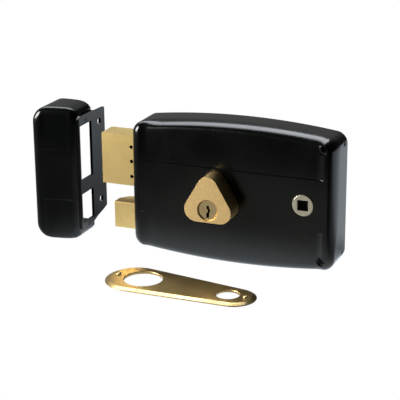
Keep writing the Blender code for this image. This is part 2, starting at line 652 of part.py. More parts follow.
def make_keep():
    cover = keep_solid("keep_cover", 0.0, False)
    combine(cover, keep_solid("cut_keep_inside", 2.0, True))
    for i, (y, z) in enumerate(KEEP_RIVETS):
        side = 1 if z > 0 else -1
        z_low, z_high = sorted((side * 35.0, side * 41.6))
        lug = block(f"join_lug_{i}", (-119.0, y - 3, z_low), (-112.8, y + 3, z_high), cutter=True)
        combine(cover, lug, "UNION")
        hole = outline_mesh("hole", [circle((y, z), 1.3, 12)], -125, -110, "YZ")
        combine(cover, add_piece(f"cut_lug_{i}", hole, None, cutter=True))
        shank = outline_mesh("rivet", [circle((y, z), 1.0, 12)], -118.5, KEEP_FACE, "YZ")
        rounded(shank)
        add_piece(f"keep_rivet_{'upper' if z > 0 else 'lower'}", shank, "black_enamel")
    outline = [(KEEP_FRONT_AT_FACE, -38.2), (-20.0, -39.8), (-7.5, -39.2), (-2.5, -37.4), (2.0, -35.8),
               (11.5, -33.8), (16.2, -32.2), (16.2, 39.5), (1.0, 40.0), (-1.0, 41.2), (-20.0, 41.4),
               (KEEP_FRONT_AT_FACE, 39.6)]
    windows = [rectangle(-20.9, -4.0, -4.0, 34.5), rectangle(-20.9, -4.0, -34.5, -13.5)]
    holes = [circle((7.8, 31.0), 2.5, 20), circle((7.8, -25.0), 2.5, 20)]
    holes += [circle(spot, 1.3, 12) for spot in KEEP_RIVETS]
    flat("keep_plate", [outline] + windows + holes, KEEP_FACE - KEEP_PLATE, KEEP_FACE, "black_enamel", "YZ")


# ---------------------------------------------------------------- escutcheon

def plate_heading():
    return (Vector(PLATE_SMALL) - Vector(PLATE_BIG)).normalized()


def spoon_outline(inset=0.0):
    """Plan of the escutcheon: broad round end, straight sides, narrow round end."""
    along = plate_heading()
    heading = math.degrees(math.atan2(along.y, along.x))
    broad, narrow = 20.2 - inset, 14.4 - inset
    broad_at, narrow_at = Vector(PLATE_BIG) - along * 5.0, Vector(PLATE_SMALL) + along * 4.0
    lean = math.degrees(math.asin((broad - narrow) / (narrow_at - broad_at).length))
    return (arc(narrow_at, narrow, heading - 90 + lean, heading + 90 - lean, 12)
            + arc(broad_at, broad, heading + 90 - lean, heading + 270 + lean, 18))


def make_escutcheon():
    """Brass outer plate: flat top, sloping shoulder all round, two holes and two pips."""
    top = PLATE_BACK + PLATE_THICK
    form = bmesh.new()
    rings = []
    for inset, level in ((0.0, PLATE_BACK), (0.0, PLATE_BACK + 0.5), (1.0, top - 0.4), (3.2, top)):
        rings.append([form.verts.new((x, y, level)) for x, y in spoon_outline(inset)])
    for below, above in zip(rings, rings[1:]):
        for i in range(len(below)):
            after = (i + 1) % len(below)
            form.faces.new((below[i], below[after], above[after], above[i]))
    form.faces.new(list(reversed(rings[0])))
    form.faces.new(rings[-1])
    bmesh.ops.recalc_face_normals(form, faces=form.faces)
    mesh = bpy.data.meshes.new("escutcheon")
    form.to_mesh(mesh)
    form.free()
    rounded(mesh)
    plate = add_piece("escutcheon", mesh, "brass_polished")
    for name, spot, radius in (("big", PLATE_BIG, BIG_HOLE), ("small", PLATE_SMALL, SMALL_HOLE)):
        hole = flat(f"cut_{name}_hole", [circle(spot, radius, 40)], PLATE_BACK - 5, top + 5,
                    cutter=True, plane="XY")
        combine(plate, hole)
    for name, spot in stud_places().items():
        mesh = outline_mesh("stud", [circle(spot, 1.9, 16)], top + GAP, top + GAP + 1.1, "XY")
        rounded(mesh)
        add_piece(f"escutcheon_stud_{name}", mesh, "brass_polished")


def stud_places():
    """Heads of the two pins that would hold the plate to the door."""
    along = plate_heading()
    left = Vector(PLATE_BIG) - along * 18.0
    right = Vector(PLATE_SMALL) + along * 12.2
    return {"left": tuple(left), "right": tuple(right)}


def main():
    clear_scene()
    make_material("black_enamel", (0.012, 0.014, 0.014), 0.0, 0.34)
    make_material("brass_satin", (0.72, 0.55, 0.27), 1.0, 0.34)
    make_material("brass_polished", (0.78, 0.58, 0.24), 1.0, 0.16)
    make_material("nickel", (0.74, 0.70, 0.60), 1.0, 0.30)
    make_material("steel", (0.55, 0.56, 0.58), 1.0, 0.35)
    make_material("zinc_steel", (0.62, 0.62, 0.58), 1.0, 0.42)
    make_material("spring_steel", (0.42, 0.43, 0.45), 1.0, 0.30)
    make_case_cover()
    make_back_plate()
    make_forend()
    make_posts()
    make_case_fasteners()
    make_inner_cylinder()
    make_pins()
    make_cylinder_fixings()
    make_gears()
    make_deadbolt()
    make_latch()
    make_latch_spring()
    make_hub()
    make_outer_cylinder()
    make_keep()
    make_escutcheon()


main()
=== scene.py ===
# %% [markdown]
# # A rim night latch, finished for a close look
# The lock screws to the inside of a door. A key throws the brass deadbolt through a small gear
# train, and the spindle in the square hole draws the sprung latch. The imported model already
# holds every piece at its true size, so this notebook only adds what a mould, a lathe, a
# polishing wheel and a paint shop would add: rounded edges, creases, grain and gloss.

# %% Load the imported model
import json
import math

import bmesh
import bpy
import numpy as np
from mathutils import Matrix, Vector


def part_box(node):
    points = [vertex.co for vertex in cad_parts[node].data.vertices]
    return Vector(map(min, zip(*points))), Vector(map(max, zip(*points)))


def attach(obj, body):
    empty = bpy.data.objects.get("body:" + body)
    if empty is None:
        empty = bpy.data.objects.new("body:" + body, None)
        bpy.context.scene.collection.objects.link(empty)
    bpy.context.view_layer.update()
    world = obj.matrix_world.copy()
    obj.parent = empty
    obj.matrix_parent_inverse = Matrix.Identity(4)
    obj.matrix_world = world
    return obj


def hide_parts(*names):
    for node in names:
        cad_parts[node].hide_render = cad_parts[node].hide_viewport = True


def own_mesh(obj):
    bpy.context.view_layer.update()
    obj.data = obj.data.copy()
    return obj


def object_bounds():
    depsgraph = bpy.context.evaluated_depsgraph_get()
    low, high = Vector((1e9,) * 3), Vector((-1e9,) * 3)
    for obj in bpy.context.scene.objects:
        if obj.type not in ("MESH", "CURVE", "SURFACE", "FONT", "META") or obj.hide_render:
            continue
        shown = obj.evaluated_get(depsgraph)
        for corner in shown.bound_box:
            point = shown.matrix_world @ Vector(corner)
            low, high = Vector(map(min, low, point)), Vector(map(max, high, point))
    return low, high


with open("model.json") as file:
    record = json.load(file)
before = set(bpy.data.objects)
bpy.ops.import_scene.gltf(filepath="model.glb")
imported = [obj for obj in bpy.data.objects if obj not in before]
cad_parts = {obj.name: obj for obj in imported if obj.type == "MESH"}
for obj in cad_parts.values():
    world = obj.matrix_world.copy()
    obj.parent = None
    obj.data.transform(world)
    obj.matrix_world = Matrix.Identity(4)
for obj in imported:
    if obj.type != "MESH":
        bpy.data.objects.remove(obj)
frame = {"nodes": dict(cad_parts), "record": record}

MM = 0.001
cad_low, cad_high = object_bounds()
print("nodes", len(frame["nodes"]), "box", [round(v, 4) for v in (*cad_low, *cad_high)])

# %% [markdown]
# ## Reading places from the model
# Nothing here is measured twice. A node's box gives its corners at rest, so a new piece takes
# its place from the piece that it replaces or that it meets.

# %% Boxes in millimetres
def corners(node):
    """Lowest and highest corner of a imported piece, in millimetres."""
    low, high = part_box(node)
    return [v / MM for v in low], [v / MM for v in high]


def middle(node):
    low, high = corners(node)
    return [(a + b) / 2 for a, b in zip(low, high)]


case_low, case_high = corners("case_cover")
key_x, _, key_z = middle("inner_plug")
HUB_RADIUS = 7.0
spindle_x = corners("spindle_hub")[1][0] - HUB_RADIUS
print("key axis", round(key_x, 2), round(key_z, 2), "spindle", round(spindle_x, 2))

# %% [markdown]
# ## Camera
# The view is a product shot from the right and a little above, on a long lens, so edges that
# are parallel on the lock stay nearly parallel. The camera is placed by its angles and by how
# far it stands from the case.

# %% Place the camera
VIEW_AZIMUTH, VIEW_ELEVATION, VIEW_ROLL = 22.615, 18.524, 0.477
camera_data = bpy.data.cameras.new("product_camera")
camera_data.lens, camera_data.sensor_width = 121.25, 36.0
camera_data.clip_start, camera_data.clip_end = 0.05, 20
camera = bpy.data.objects.new("product_camera", camera_data)
bpy.context.scene.collection.objects.link(camera)
turn = (Matrix.Rotation(math.radians(VIEW_AZIMUTH), 4, "Z")
        @ Matrix.Rotation(math.radians(90 - VIEW_ELEVATION), 4, "X")
        @ Matrix.Rotation(math.radians(-VIEW_ROLL), 4, "Z"))
camera.matrix_world = Matrix.Translation(Vector((300.0, -797.6, 274.9)) * MM) @ turn
bpy.context.scene.camera = camera
print("lens", camera_data.lens)

# %% [markdown]
# ## Shared surface effects
# Several finishes need the same things: a fine direction left by a brush or a mill, the faint
# cloudiness of handled metal, specks of dust, and wear where edges are rubbed. Each is one
# node group, built once and given its own numbers in every material that uses it. The groups
# only put out values that change over the surface; the shaders stay in the materials.

# %% Helpers for node groups
def new_group(name, inputs, outputs):
    group = bpy.data.node_groups.new(name, "ShaderNodeTree")
    for label, kind, value in inputs:
        socket = group.interface.new_socket(label, in_out="INPUT", socket_type=kind)
        if value is not None:
            socket.default_value = value
    for label, kind in outputs:
        group.interface.new_socket(label, in_out="OUTPUT", socket_type=kind)
    return group, group.nodes.new("NodeGroupInput"), group.nodes.new("NodeGroupOutput")


def add(tree, kind, **settings):
    """A node with its properties set by name."""
    node = tree.nodes.new(kind)
    for label, value in settings.items():
        setattr(node, label, value)
    return node


def wire(tree, start, end):
    tree.links.new(start, end)


def math_node(tree, operation, *values, clamp=False):
    node = add(tree, "ShaderNodeMath", operation=operation, use_clamp=clamp)
    for socket, value in zip(node.inputs, values):
        if isinstance(value, (int, float)):
            socket.default_value = value
        else:
            wire(tree, value, socket)
    return node.outputs[0]


def span(tree, value, low, high, to_low, to_high):
    """Map a value from one range to another, clamped."""
    node = add(tree, "ShaderNodeMapRange")
    for label, number in zip(("From Min", "From Max", "To Min", "To Max"), (low, high, to_low, to_high)):
        if isinstance(number, (int, float)):
            node.inputs[label].default_value = number
        else:
            wire(tree, number, node.inputs[label])
    wire(tree, value, node.inputs["Value"])
    return node.outputs["Result"]

# %% Grain left by a brush, a belt or a mill
def build_grain():
    group, source, sink = new_group(
        "tool_grain",
        [("Vector", "NodeSocketVector", None), ("Stretch", "NodeSocketVector", (1, 1, 1)),
         ("Scale", "NodeSocketFloat", 900.0)],
        [("Height", "NodeSocketFloat"), ("Tone", "NodeSocketFloat")])
    stretch = add(group, "ShaderNodeVectorMath", operation="MULTIPLY")
    wire(group, source.outputs["Vector"], stretch.inputs[0])
    wire(group, source.outputs["Stretch"], stretch.inputs[1])
    fine = add(group, "ShaderNodeTexNoise")
    fine.inputs["Detail"].default_value = 5.0
    fine.inputs["Roughness"].default_value = 0.7
    wire(group, stretch.outputs[0], fine.inputs["Vector"])
    wire(group, source.outputs["Scale"], fine.inputs["Scale"])
    wire(group, fine.outputs["Fac"], sink.inputs["Height"])
    wire(group, span(group, fine.outputs["Fac"], 0.3, 0.7, 0.0, 1.0), sink.inputs["Tone"])
    return group


tool_grain = build_grain()
print("group", tool_grain.name)

# %% Cloudiness of handled or cast surfaces
def build_cloud():
    group, source, sink = new_group(
        "handled_cloud",
        [("Vector", "NodeSocketVector", None), ("Scale", "NodeSocketFloat", 60.0)],
        [("Cloud", "NodeSocketFloat"), ("Height", "NodeSocketFloat")])
    broad = add(group, "ShaderNodeTexNoise")
    broad.inputs["Detail"].default_value = 3.0
    broad.inputs["Distortion"].default_value = 0.6
    wire(group, source.outputs["Vector"], broad.inputs["Vector"])
    wire(group, source.outputs["Scale"], broad.inputs["Scale"])
    wire(group, span(group, broad.outputs["Fac"], 0.32, 0.68, 0.0, 1.0), sink.inputs["Cloud"])
    wire(group, broad.outputs["Fac"], sink.inputs["Height"])
    return group


handled_cloud = build_cloud()
print("group", handled_cloud.name)

# %% Specks of dust and pits
def build_specks():
    group, source, sink = new_group(
        "dust_specks",
        [("Vector", "NodeSocketVector", None), ("Scale", "NodeSocketFloat", 400.0),
         ("Size", "NodeSocketFloat", 0.12)],
        [("Mask", "NodeSocketFloat")])
    cells = add(group, "ShaderNodeTexVoronoi")
    wire(group, source.outputs["Vector"], cells.inputs["Vector"])
    wire(group, source.outputs["Scale"], cells.inputs["Scale"])
    inside = add(group, "ShaderNodeMath", operation="LESS_THAN")
    wire(group, cells.outputs["Distance"], inside.inputs[0])
    wire(group, source.outputs["Size"], inside.inputs[1])
    pick = add(group, "ShaderNodeSeparateColor")
    wire(group, cells.outputs["Color"], pick.inputs["Color"])
    rare = add(group, "ShaderNodeMath", operation="GREATER_THAN")
    rare.inputs[1].default_value = 0.72
    wire(group, pick.outputs["Red"], rare.inputs[0])
    both = add(group, "ShaderNodeMath", operation="MULTIPLY")
    wire(group, inside.outputs[0], both.inputs[0])
    wire(group, rare.outputs[0], both.inputs[1])
    wire(group, both.outputs[0], sink.inputs["Mask"])
    return group


dust_specks = build_specks()
print("group", dust_specks.name)

# %% Wear on rubbed edges
def build_wear():
    """The rub attribute is 1 on a rounded edge and 0 on a flat; noise breaks it up."""
    group, source, sink = new_group(
        "edge_rub",
        [("Vector", "NodeSocketVector", None), ("Scale", "NodeSocketFloat", 260.0),
         ("Amount", "NodeSocketFloat", 0.5)],
        [("Mask", "NodeSocketFloat")])
    rub = add(group, "ShaderNodeAttribute", attribute_name="rub")
    patch = add(group, "ShaderNodeTexNoise")
    patch.inputs["Detail"].default_value = 4.0
    wire(group, source.outputs["Vector"], patch.inputs["Vector"])
    wire(group, source.outputs["Scale"], patch.inputs["Scale"])
    broken = add(group, "ShaderNodeMath", operation="MULTIPLY")
    wire(group, rub.outputs["Fac"], broken.inputs[0])
    wire(group, span(group, patch.outputs["Fac"], 0.42, 0.62, 0.0, 1.0), broken.inputs[1])
    amount = add(group, "ShaderNodeMath", operation="MULTIPLY")
    wire(group, broken.outputs[0], amount.inputs[0])
    wire(group, source.outputs["Amount"], amount.inputs[1])
    wire(group, amount.outputs[0], sink.inputs["Mask"])
    return group


edge_rub = build_wear()
print("group", edge_rub.name)

# %% [markdown]
# ## Finishes
# The enamel is stoved on a die-cast case: almost black, a little green, with the faint ripple
# of sprayed paint. The bolts and cylinders are brass left satin from the mill. The escutcheon
# is brass again, but polished and lacquered. Steel pieces inside are bright or zinc plated.

# %% Helpers for finishes
def new_finish(name):
    """An empty material with its tree, shader and object coordinates."""
    material = bpy.data.materials.new(name)
    material.use_nodes = True
    tree = material.node_tree
    shader = tree.nodes["Principled BSDF"]
    place = add(tree, "ShaderNodeTexCoord").outputs["Object"]
    return material, tree, shader, place


def use(tree, group, place, **values):
    node = add(tree, "ShaderNodeGroup", node_tree=group)
    wire(tree, place, node.inputs["Vector"])
    for label, value in values.items():
        node.inputs[label].default_value = value
    return node


def blend_color(tree, factor, first, second):
    node = add(tree, "ShaderNodeMix", data_type="RGBA")
    wire(tree, factor, node.inputs["Factor"])
    for socket, value in ((node.inputs[6], first), (node.inputs[7], second)):
        if isinstance(value, tuple):
            socket.default_value = (*value, 1.0)
        else:
            wire(tree, value, socket)
    return node.outputs[2]


def blend_value(tree, factor, first, second):
    node = add(tree, "ShaderNodeMix", data_type="FLOAT")
    wire(tree, factor, node.inputs["Factor"])
    for socket, value in ((node.inputs[2], first), (node.inputs[3], second)):
        if isinstance(value, (int, float)):
            socket.default_value = value
        else:
            wire(tree, value, socket)
    return node.outputs[0]


def bump(tree, shader, layers):
    """Stack heights, each with its depth in millimetres and strength, into the shader's normal."""
    previous = None
    for height, depth, strength in layers:
        node = add(tree, "ShaderNodeBump")
        node.inputs["Strength"].default_value = strength
        node.inputs["Distance"].default_value = depth * MM
        wire(tree, height, node.inputs["Height"])
        if previous is not None:
            wire(tree, previous, node.inputs["Normal"])
        previous = node.outputs["Normal"]
    wire(tree, previous, shader.inputs["Normal"])

# %% Black stoved enamel
def make_enamel():
    material, tree, shader, place = new_finish("black_stoved_enamel")
    ripple = use(tree, handled_cloud, place, Scale=520.0)
    cloud = use(tree, handled_cloud, place, Scale=35.0)
    specks = use(tree, dust_specks, place, Scale=330.0, Size=0.09)
    rub = use(tree, edge_rub, place, Scale=420.0, Amount=0.35)
    base = blend_color(tree, cloud.outputs["Cloud"], (0.0010, 0.0016, 0.0013), (0.0020, 0.0027, 0.0022))
    dusty = blend_color(tree, specks.outputs["Mask"], base, (0.0065, 0.007, 0.0065))
    rubbed = blend_color(tree, rub.outputs["Mask"], dusty, (0.012, 0.013, 0.013))
    wire(tree, rubbed, shader.inputs["Base Color"])
    smooth = blend_value(tree, cloud.outputs["Cloud"], 0.17, 0.21)
    wire(tree, blend_value(tree, specks.outputs["Mask"], smooth, 0.30), shader.inputs["Roughness"])
    shader.inputs["Specular IOR Level"].default_value = 0.5
    bump(tree, shader, [(ripple.outputs["Height"], 0.02, 0.3), (specks.outputs["Mask"], 0.008, 0.2)])
    return material


enamel = make_enamel()
print("finish", enamel.name)

# %% Satin brass
def inside_box(tree, place, low, high):
    """1 inside a box given in millimetres, 0 outside."""
    split = add(tree, "ShaderNodeSeparateXYZ")
    wire(tree, place, split.inputs[0])
    mask = None
    for socket, a, b in zip(split.outputs, low, high):
        here = math_node(tree, "COMPARE", socket, (a + b) / 2 * MM, abs(b - a) / 2 * MM)
        mask = here if mask is None else math_node(tree, "MULTIPLY", mask, here)
    return mask


def make_satin_brass(name, stretch, light, dark, rough, painted_shade_box=None):
    """Milled brass; whatever is drilled inside the given box is painted near black, painted shade in place of
    the shadow in the holes.
    """
    material, tree, shader, place = new_finish(name)
    grain = use(tree, tool_grain, place, Scale=700.0, Stretch=stretch)
    cloud = use(tree, handled_cloud, place, Scale=90.0)
    pits = use(tree, dust_specks, place, Scale=520.0, Size=0.06)
    rub = use(tree, edge_rub, place, Scale=300.0, Amount=0.6)
    tone = blend_color(tree, cloud.outputs["Cloud"], light, dark)
    streaked = add(tree, "ShaderNodeMix", data_type="RGBA", blend_type="MULTIPLY")
    streaked.inputs["Factor"].default_value = 0.22
    wire(tree, tone, streaked.inputs[6])
    wire(tree, grain.outputs["Tone"], streaked.inputs[7])
    pitted = blend_color(tree, pits.outputs["Mask"], streaked.outputs[2], tuple(0.45 * c for c in dark))
    polished = blend_color(tree, rub.outputs["Mask"], pitted, tuple(min(1.0, 1.12 * c) for c in light))
    # painted shade: inside the box the colour goes near black, standing in for the shadow in drilled holes
    if painted_shade_box is not None:
        polished = blend_color(tree, inside_box(tree, place, *painted_shade_box), polished, (0.03, 0.022, 0.012))
    wire(tree, polished, shader.inputs["Base Color"])
    shader.inputs["Metallic"].default_value = 1.0
    base_rough = span(tree, grain.outputs["Tone"], 0.0, 1.0, rough - 0.05, rough + 0.07)
    wire(tree, blend_value(tree, rub.outputs["Mask"], base_rough, rough - 0.14), shader.inputs["Roughness"])
    bump(tree, shader, [(grain.outputs["Height"], 0.02, 0.45), (cloud.outputs["Height"], 0.05, 0.12),
                        (pits.outputs["Mask"], -0.01, 0.2)])
    return material


dead_low, dead_high = corners("deadbolt_head")
DOT_X = -73.0                          # witness holes in the deadbolt
# the deadbolt's witness holes get painted shade: a box around them is coloured near black in place of their
# shadow
painted_shade_dots = ((DOT_X - 1.4, dead_low[1] + 0.35, dead_low[2] + 1.0),
           (DOT_X + 1.4, dead_high[1] - 1.0, dead_high[2] - 0.35))
BOLT_TONES = (0.80, 0.60, 0.25), (0.74, 0.545, 0.22)
bolt_brass = make_satin_brass("milled_bolt_brass", (1.0, 1.0, 14.0), *BOLT_TONES, 0.42, painted_shade_dots)
CYLINDER_TONES = (0.90, 0.65, 0.30), (0.84, 0.59, 0.265)
cylinder_brass = make_satin_brass("cast_cylinder_brass", (1.0, 1.0, 1.0), *CYLINDER_TONES, 0.47)
print("finishes", bolt_brass.name, cylinder_brass.name)

# %% Polished brass
def make_polished_brass():
    material, tree, shader, place = new_finish("polished_lacquered_brass")
    cloud = use(tree, handled_cloud, place, Scale=55.0)
    grain = use(tree, tool_grain, place, Scale=420.0, Stretch=(1.0, 9.0, 1.0))
    specks = use(tree, dust_specks, place, Scale=260.0, Size=0.07)
    tone = blend_color(tree, cloud.outputs["Cloud"], (0.72, 0.52, 0.23), (0.62, 0.44, 0.18))
    speckled = blend_color(tree, specks.outputs["Mask"], tone, (0.42, 0.33, 0.20))
    wire(tree, speckled, shader.inputs["Base Color"])
    shader.inputs["Metallic"].default_value = 1.0
    wire(tree, span(tree, cloud.outputs["Cloud"], 0.0, 1.0, 0.30, 0.40), shader.inputs["Roughness"])
    shader.inputs["Coat Weight"].default_value = 0.35
    shader.inputs["Coat Roughness"].default_value = 0.08
    bump(tree, shader, [(cloud.outputs["Height"], 0.10, 0.25), (grain.outputs["Height"], 0.006, 0.25)])
    return material


plate_brass = make_polished_brass()
print("finish", plate_brass.name)

# %% Turned faces
def make_turned(name, centre, hole, color, dark, rough):
    """Fine rings about an axis along Y, as a lathe leaves on a face; painted shade, near black, inside its
    hole.
    """
    material, tree, shader, place = new_finish(name)
    move = add(tree, "ShaderNodeMapping")
    move.inputs["Location"].default_value = (-centre[0] * MM, 0, -centre[1] * MM)
    wire(tree, place, move.inputs["Vector"])
    flat_place = add(tree, "ShaderNodeVectorMath", operation="MULTIPLY")
    flat_place.inputs[1].default_value = (1, 0, 1)
    wire(tree, move.outputs["Vector"], flat_place.inputs[0])
    radius = add(tree, "ShaderNodeVectorMath", operation="LENGTH")
    wire(tree, flat_place.outputs[0], radius.inputs[0])
    rings = add(tree, "ShaderNodeTexNoise", noise_dimensions="1D")
    rings.inputs["Scale"].default_value = 5200.0
    wire(tree, radius.outputs["Value"], rings.inputs["W"])
    cloud = use(tree, handled_cloud, place, Scale=240.0)
    tone = blend_color(tree, cloud.outputs["Cloud"], color, dark)
    lined = blend_color(tree, span(tree, rings.outputs["Fac"], 0.35, 0.65, 0.0, 0.35), tone, dark)
    # painted shade: the hole is coloured near black in place of its shadow
    painted_hole_shade = inside_box(tree, place, *hole)
    wire(tree, blend_color(tree, painted_hole_shade, lined, (0.03, 0.025, 0.02)), shader.inputs["Base Color"])
    shader.inputs["Metallic"].default_value = 1.0
    cut_rough = span(tree, rings.outputs["Fac"], 0.3, 0.7, rough - 0.06, rough + 0.08)
    wire(tree, cut_rough, shader.inputs["Roughness"])
    bump(tree, shader, [(rings.outputs["Fac"], 0.02, 0.4), (cloud.outputs["Height"], 0.03, 0.15)])
    return material


def hole_box(node, x, z, half_wide, half_high):
    """The part of a hole along Y that lies between a node's two ends."""
    low, high = corners(node)
    return (x - half_wide, low[1] + 0.5, z - half_high), (x + half_wide, high[1] - 0.5, z + half_high)


PLUG_TONES = (0.88, 0.70, 0.38), (0.74, 0.56, 0.28)
# the hole boxes given here mark where the turned faces get painted shade
hub_finish = make_turned("turned_hub_face", (spindle_x, 0), hole_box("spindle_hub", spindle_x, 0, 3.7, 3.7),
                         (0.86, 0.81, 0.66), (0.72, 0.65, 0.48), 0.36)
plug_finish = make_turned("turned_plug_brass", (key_x, key_z), hole_box("inner_plug", key_x, key_z, 2.0, 4.6),
                          *PLUG_TONES, 0.30)
outer_plug_finish = make_turned("turned_outer_plug_brass", (key_x, key_z),
                                hole_box("outer_plug", key_x, key_z, 2.0, 4.6), *PLUG_TONES, 0.30)
print("finishes", hub_finish.name, plug_finish.name, outer_plug_finish.name)

# %% Steel, zinc and spring wire
def make_steel(name, light, dark, rough, stretch, scale):
    material, tree, shader, place = new_finish(name)
    grain = use(tree, tool_grain, place, Scale=scale, Stretch=stretch)
    cloud = use(tree, handled_cloud, place, Scale=130.0)
    rub = use(tree, edge_rub, place, Scale=500.0, Amount=0.7)
    tone = blend_color(tree, cloud.outputs["Cloud"], light, dark)
    wire(tree, blend_color(tree, rub.outputs["Mask"], tone, tuple(min(1, c * 1.2) for c in light)),
         shader.inputs["Base Color"])
    shader.inputs["Metallic"].default_value = 1.0
    rolled_rough = span(tree, grain.outputs["Tone"], 0.0, 1.0, rough - 0.07, rough + 0.08)
    wire(tree, rolled_rough, shader.inputs["Roughness"])
    bump(tree, shader, [(grain.outputs["Height"], 0.015, 0.4), (cloud.outputs["Height"], 0.03, 0.1)])
    return material


steel = make_steel("bright_cold_rolled_steel", (0.58, 0.59, 0.60), (0.46, 0.47, 0.49), 0.32,
                   (1.0, 1.0, 12.0), 600.0)
wire_steel = make_steel("oiled_spring_wire", (0.40, 0.41, 0.43), (0.26, 0.27, 0.29), 0.30, (1, 1, 1), 1500.0)


def make_zinc():
    """Zinc plate over steel: pale, with a faint yellow and blue passivation."""
    material, tree, shader, place = new_finish("passivated_zinc_plate")
    grain = use(tree, tool_grain, place, Scale=500.0, Stretch=(9.0, 1.0, 1.0))
    cloud = use(tree, handled_cloud, place, Scale=48.0)
    cells = add(tree, "ShaderNodeTexVoronoi")
    cells.inputs["Scale"].default_value = 210.0
    wire(tree, place, cells.inputs["Vector"])
    split = add(tree, "ShaderNodeSeparateColor")
    wire(tree, cells.outputs["Color"], split.inputs["Color"])
    tint = blend_color(tree, cloud.outputs["Cloud"], (0.66, 0.66, 0.60), (0.56, 0.60, 0.64))
    wire(tree, blend_color(tree, span(tree, split.outputs["Red"], 0, 1, 0, 0.25), tint, (0.44, 0.46, 0.47)),
         shader.inputs["Base Color"])
    shader.inputs["Metallic"].default_value = 1.0
    wire(tree, span(tree, split.outputs["Green"], 0.0, 1.0, 0.34, 0.48), shader.inputs["Roughness"])
    bump(tree, shader, [(grain.outputs["Height"], 0.012, 0.35)])
    return material


zinc = make_zinc()
print("finishes", steel.name, wire_steel.name, zinc.name)

# %% [markdown]
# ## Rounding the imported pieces
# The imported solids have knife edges. Real ones are tumbled, filed or cast, and the small
# radius on an edge is what catches the light. A copy of the node is merged, its flat faces are
# joined again, and the Bevel modifier rounds every edge. The same pass stores a rub value at
# each point, which is how the wear group knows where an edge is.

# %% Helpers for mesh pieces
def store_rub(mesh):
    """How sharply the surface turns at each point, from 0 to 1, blurred a little."""
    form = bmesh.new()
    form.from_mesh(mesh)
    form.verts.ensure_lookup_table()
    rub = np.zeros(len(form.verts))
    broad = {vert.index for face in form.faces if face.calc_area() > 1.5e-6 for vert in face.verts}
    for edge in form.edges:
        if len(edge.link_faces) == 2:
            bend = edge.calc_face_angle(0.0)
            for vert in edge.verts:
                if vert.index not in broad:
                    rub[vert.index] = max(rub[vert.index], min(1.0, bend / math.radians(25)))
    form.free()
    layer = mesh.attributes.new("rub", "FLOAT", "POINT")
    layer.data.foreach_set("value", rub.astype(np.float32))


def finish_piece(name, mesh, body, finish, replaced=(), angle=32, even=True):
    """Turn a mesh in world metres into a piece that rides on its body."""
    mesh.shade_smooth()
    mesh.set_sharp_from_angle(angle=math.radians(angle))
    store_rub(mesh)
    if even:
        blank = temporary(name + "_unshaded", mesh)
        blank.modifiers.new("even_shading", "WEIGHTED_NORMAL").keep_sharp = True
        mesh = evaluated_mesh(blank)
    mesh.name = name
    mesh.materials.clear()
    mesh.materials.append(finish)
    piece = bpy.data.objects.new(name, mesh)
    bpy.context.scene.collection.objects.link(piece)
    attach(piece, body)
    if replaced:
        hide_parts(*replaced)
    return piece


def evaluated_mesh(piece):
    """The mesh that a temporary object shows; the object goes."""
    bpy.context.view_layer.update()
    depsgraph = bpy.context.evaluated_depsgraph_get()
    mesh = bpy.data.meshes.new_from_object(piece.evaluated_get(depsgraph))
    bpy.data.objects.remove(piece, do_unlink=True)
    return mesh


def temporary(name, mesh):
    piece = bpy.data.objects.new(name, mesh)
    bpy.context.scene.collection.objects.link(piece)
    return piece


def node_body(node):
    for body, members in frame["record"]["behaviour"]["bodies"].items():
        if node in members:
            return body
    raise ValueError(node)


def soften(node, radius, finish, segments=3, angle=28, holed=False):
    """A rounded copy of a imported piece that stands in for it; a holed sheet keeps its triangles."""
    form = bmesh.new()
    form.from_mesh(frame["nodes"][node].data)
    bmesh.ops.remove_doubles(form, verts=form.verts, dist=0.002 * MM)
    if not holed:
        bmesh.ops.dissolve_limit(form, angle_limit=math.radians(0.6), verts=form.verts, edges=form.edges)
    mesh = bpy.data.meshes.new(node)
    form.to_mesh(mesh)
    form.free()
    piece = temporary(node + "_blank", mesh)
    rounding = piece.modifiers.new("rounding", "BEVEL")
    rounding.width = radius * MM
    rounding.segments = segments
    rounding.limit_method = "ANGLE"
    rounding.angle_limit = math.radians(angle)
    rounding.miter_outer = "MITER_ARC"
    return finish_piece(node + "_finished", evaluated_mesh(piece), node_body(node), finish, [node])

# %% [markdown]
# ## The bolts
# Both bolts are sawn from brass bar and milled, so their corners are only just broken. The
# deadbolt carries four small drilled witness holes near the case, and the latch has its bevel
# on the side that meets the keep.

# %% Deadbolt and latch
deadbolt = soften("deadbolt_head", 0.45, bolt_brass)
latch = soften("latch_head", 0.4, bolt_brass)
print("bolt faces", len(deadbolt.data.polygons), len(latch.data.polygons))

# %% [markdown]
# ## The case cover
# The cover is one die casting. Seen from the front it is a bowed rectangle with round corners,
# its front edge rolls over in a soft quarter round, and a flat band runs across the middle,
# standing a little proud of two gently crowned panels. That follows a rule, so the front is
# made as a grid whose depth is worked out at each point: distance from the outline gives the
# rolled edge, height gives the crown, and a smooth step gives the crease.

# %% Outline of the case
CORNER, WALL = 8.0, 2.0
reach = case_high[0]
mid_height = case_high[2]
END_HEIGHT = 42.5
bow_radius = (reach ** 2 + (mid_height - END_HEIGHT) ** 2) / (2 * (mid_height - END_HEIGHT))
corner_x = reach - CORNER
corner_z = mid_height - bow_radius + math.sqrt((bow_radius - CORNER) ** 2 - corner_x ** 2)
meeting_x = corner_x * bow_radius / (bow_radius - CORNER)


def case_half_height(x):
    """Half the case's height at x: one long bow that runs smoothly into each round corner."""
    if abs(x) <= meeting_x:
        return mid_height - bow_radius + math.sqrt(bow_radius ** 2 - x ** 2)
    return corner_z + math.sqrt(max(0.0, CORNER ** 2 - (abs(x) - corner_x) ** 2))


def smooth_step(value, low, high):
    t = np.clip((value - low) / (high - low), 0.0, 1.0)
    return t * t * (3 - 2 * t)


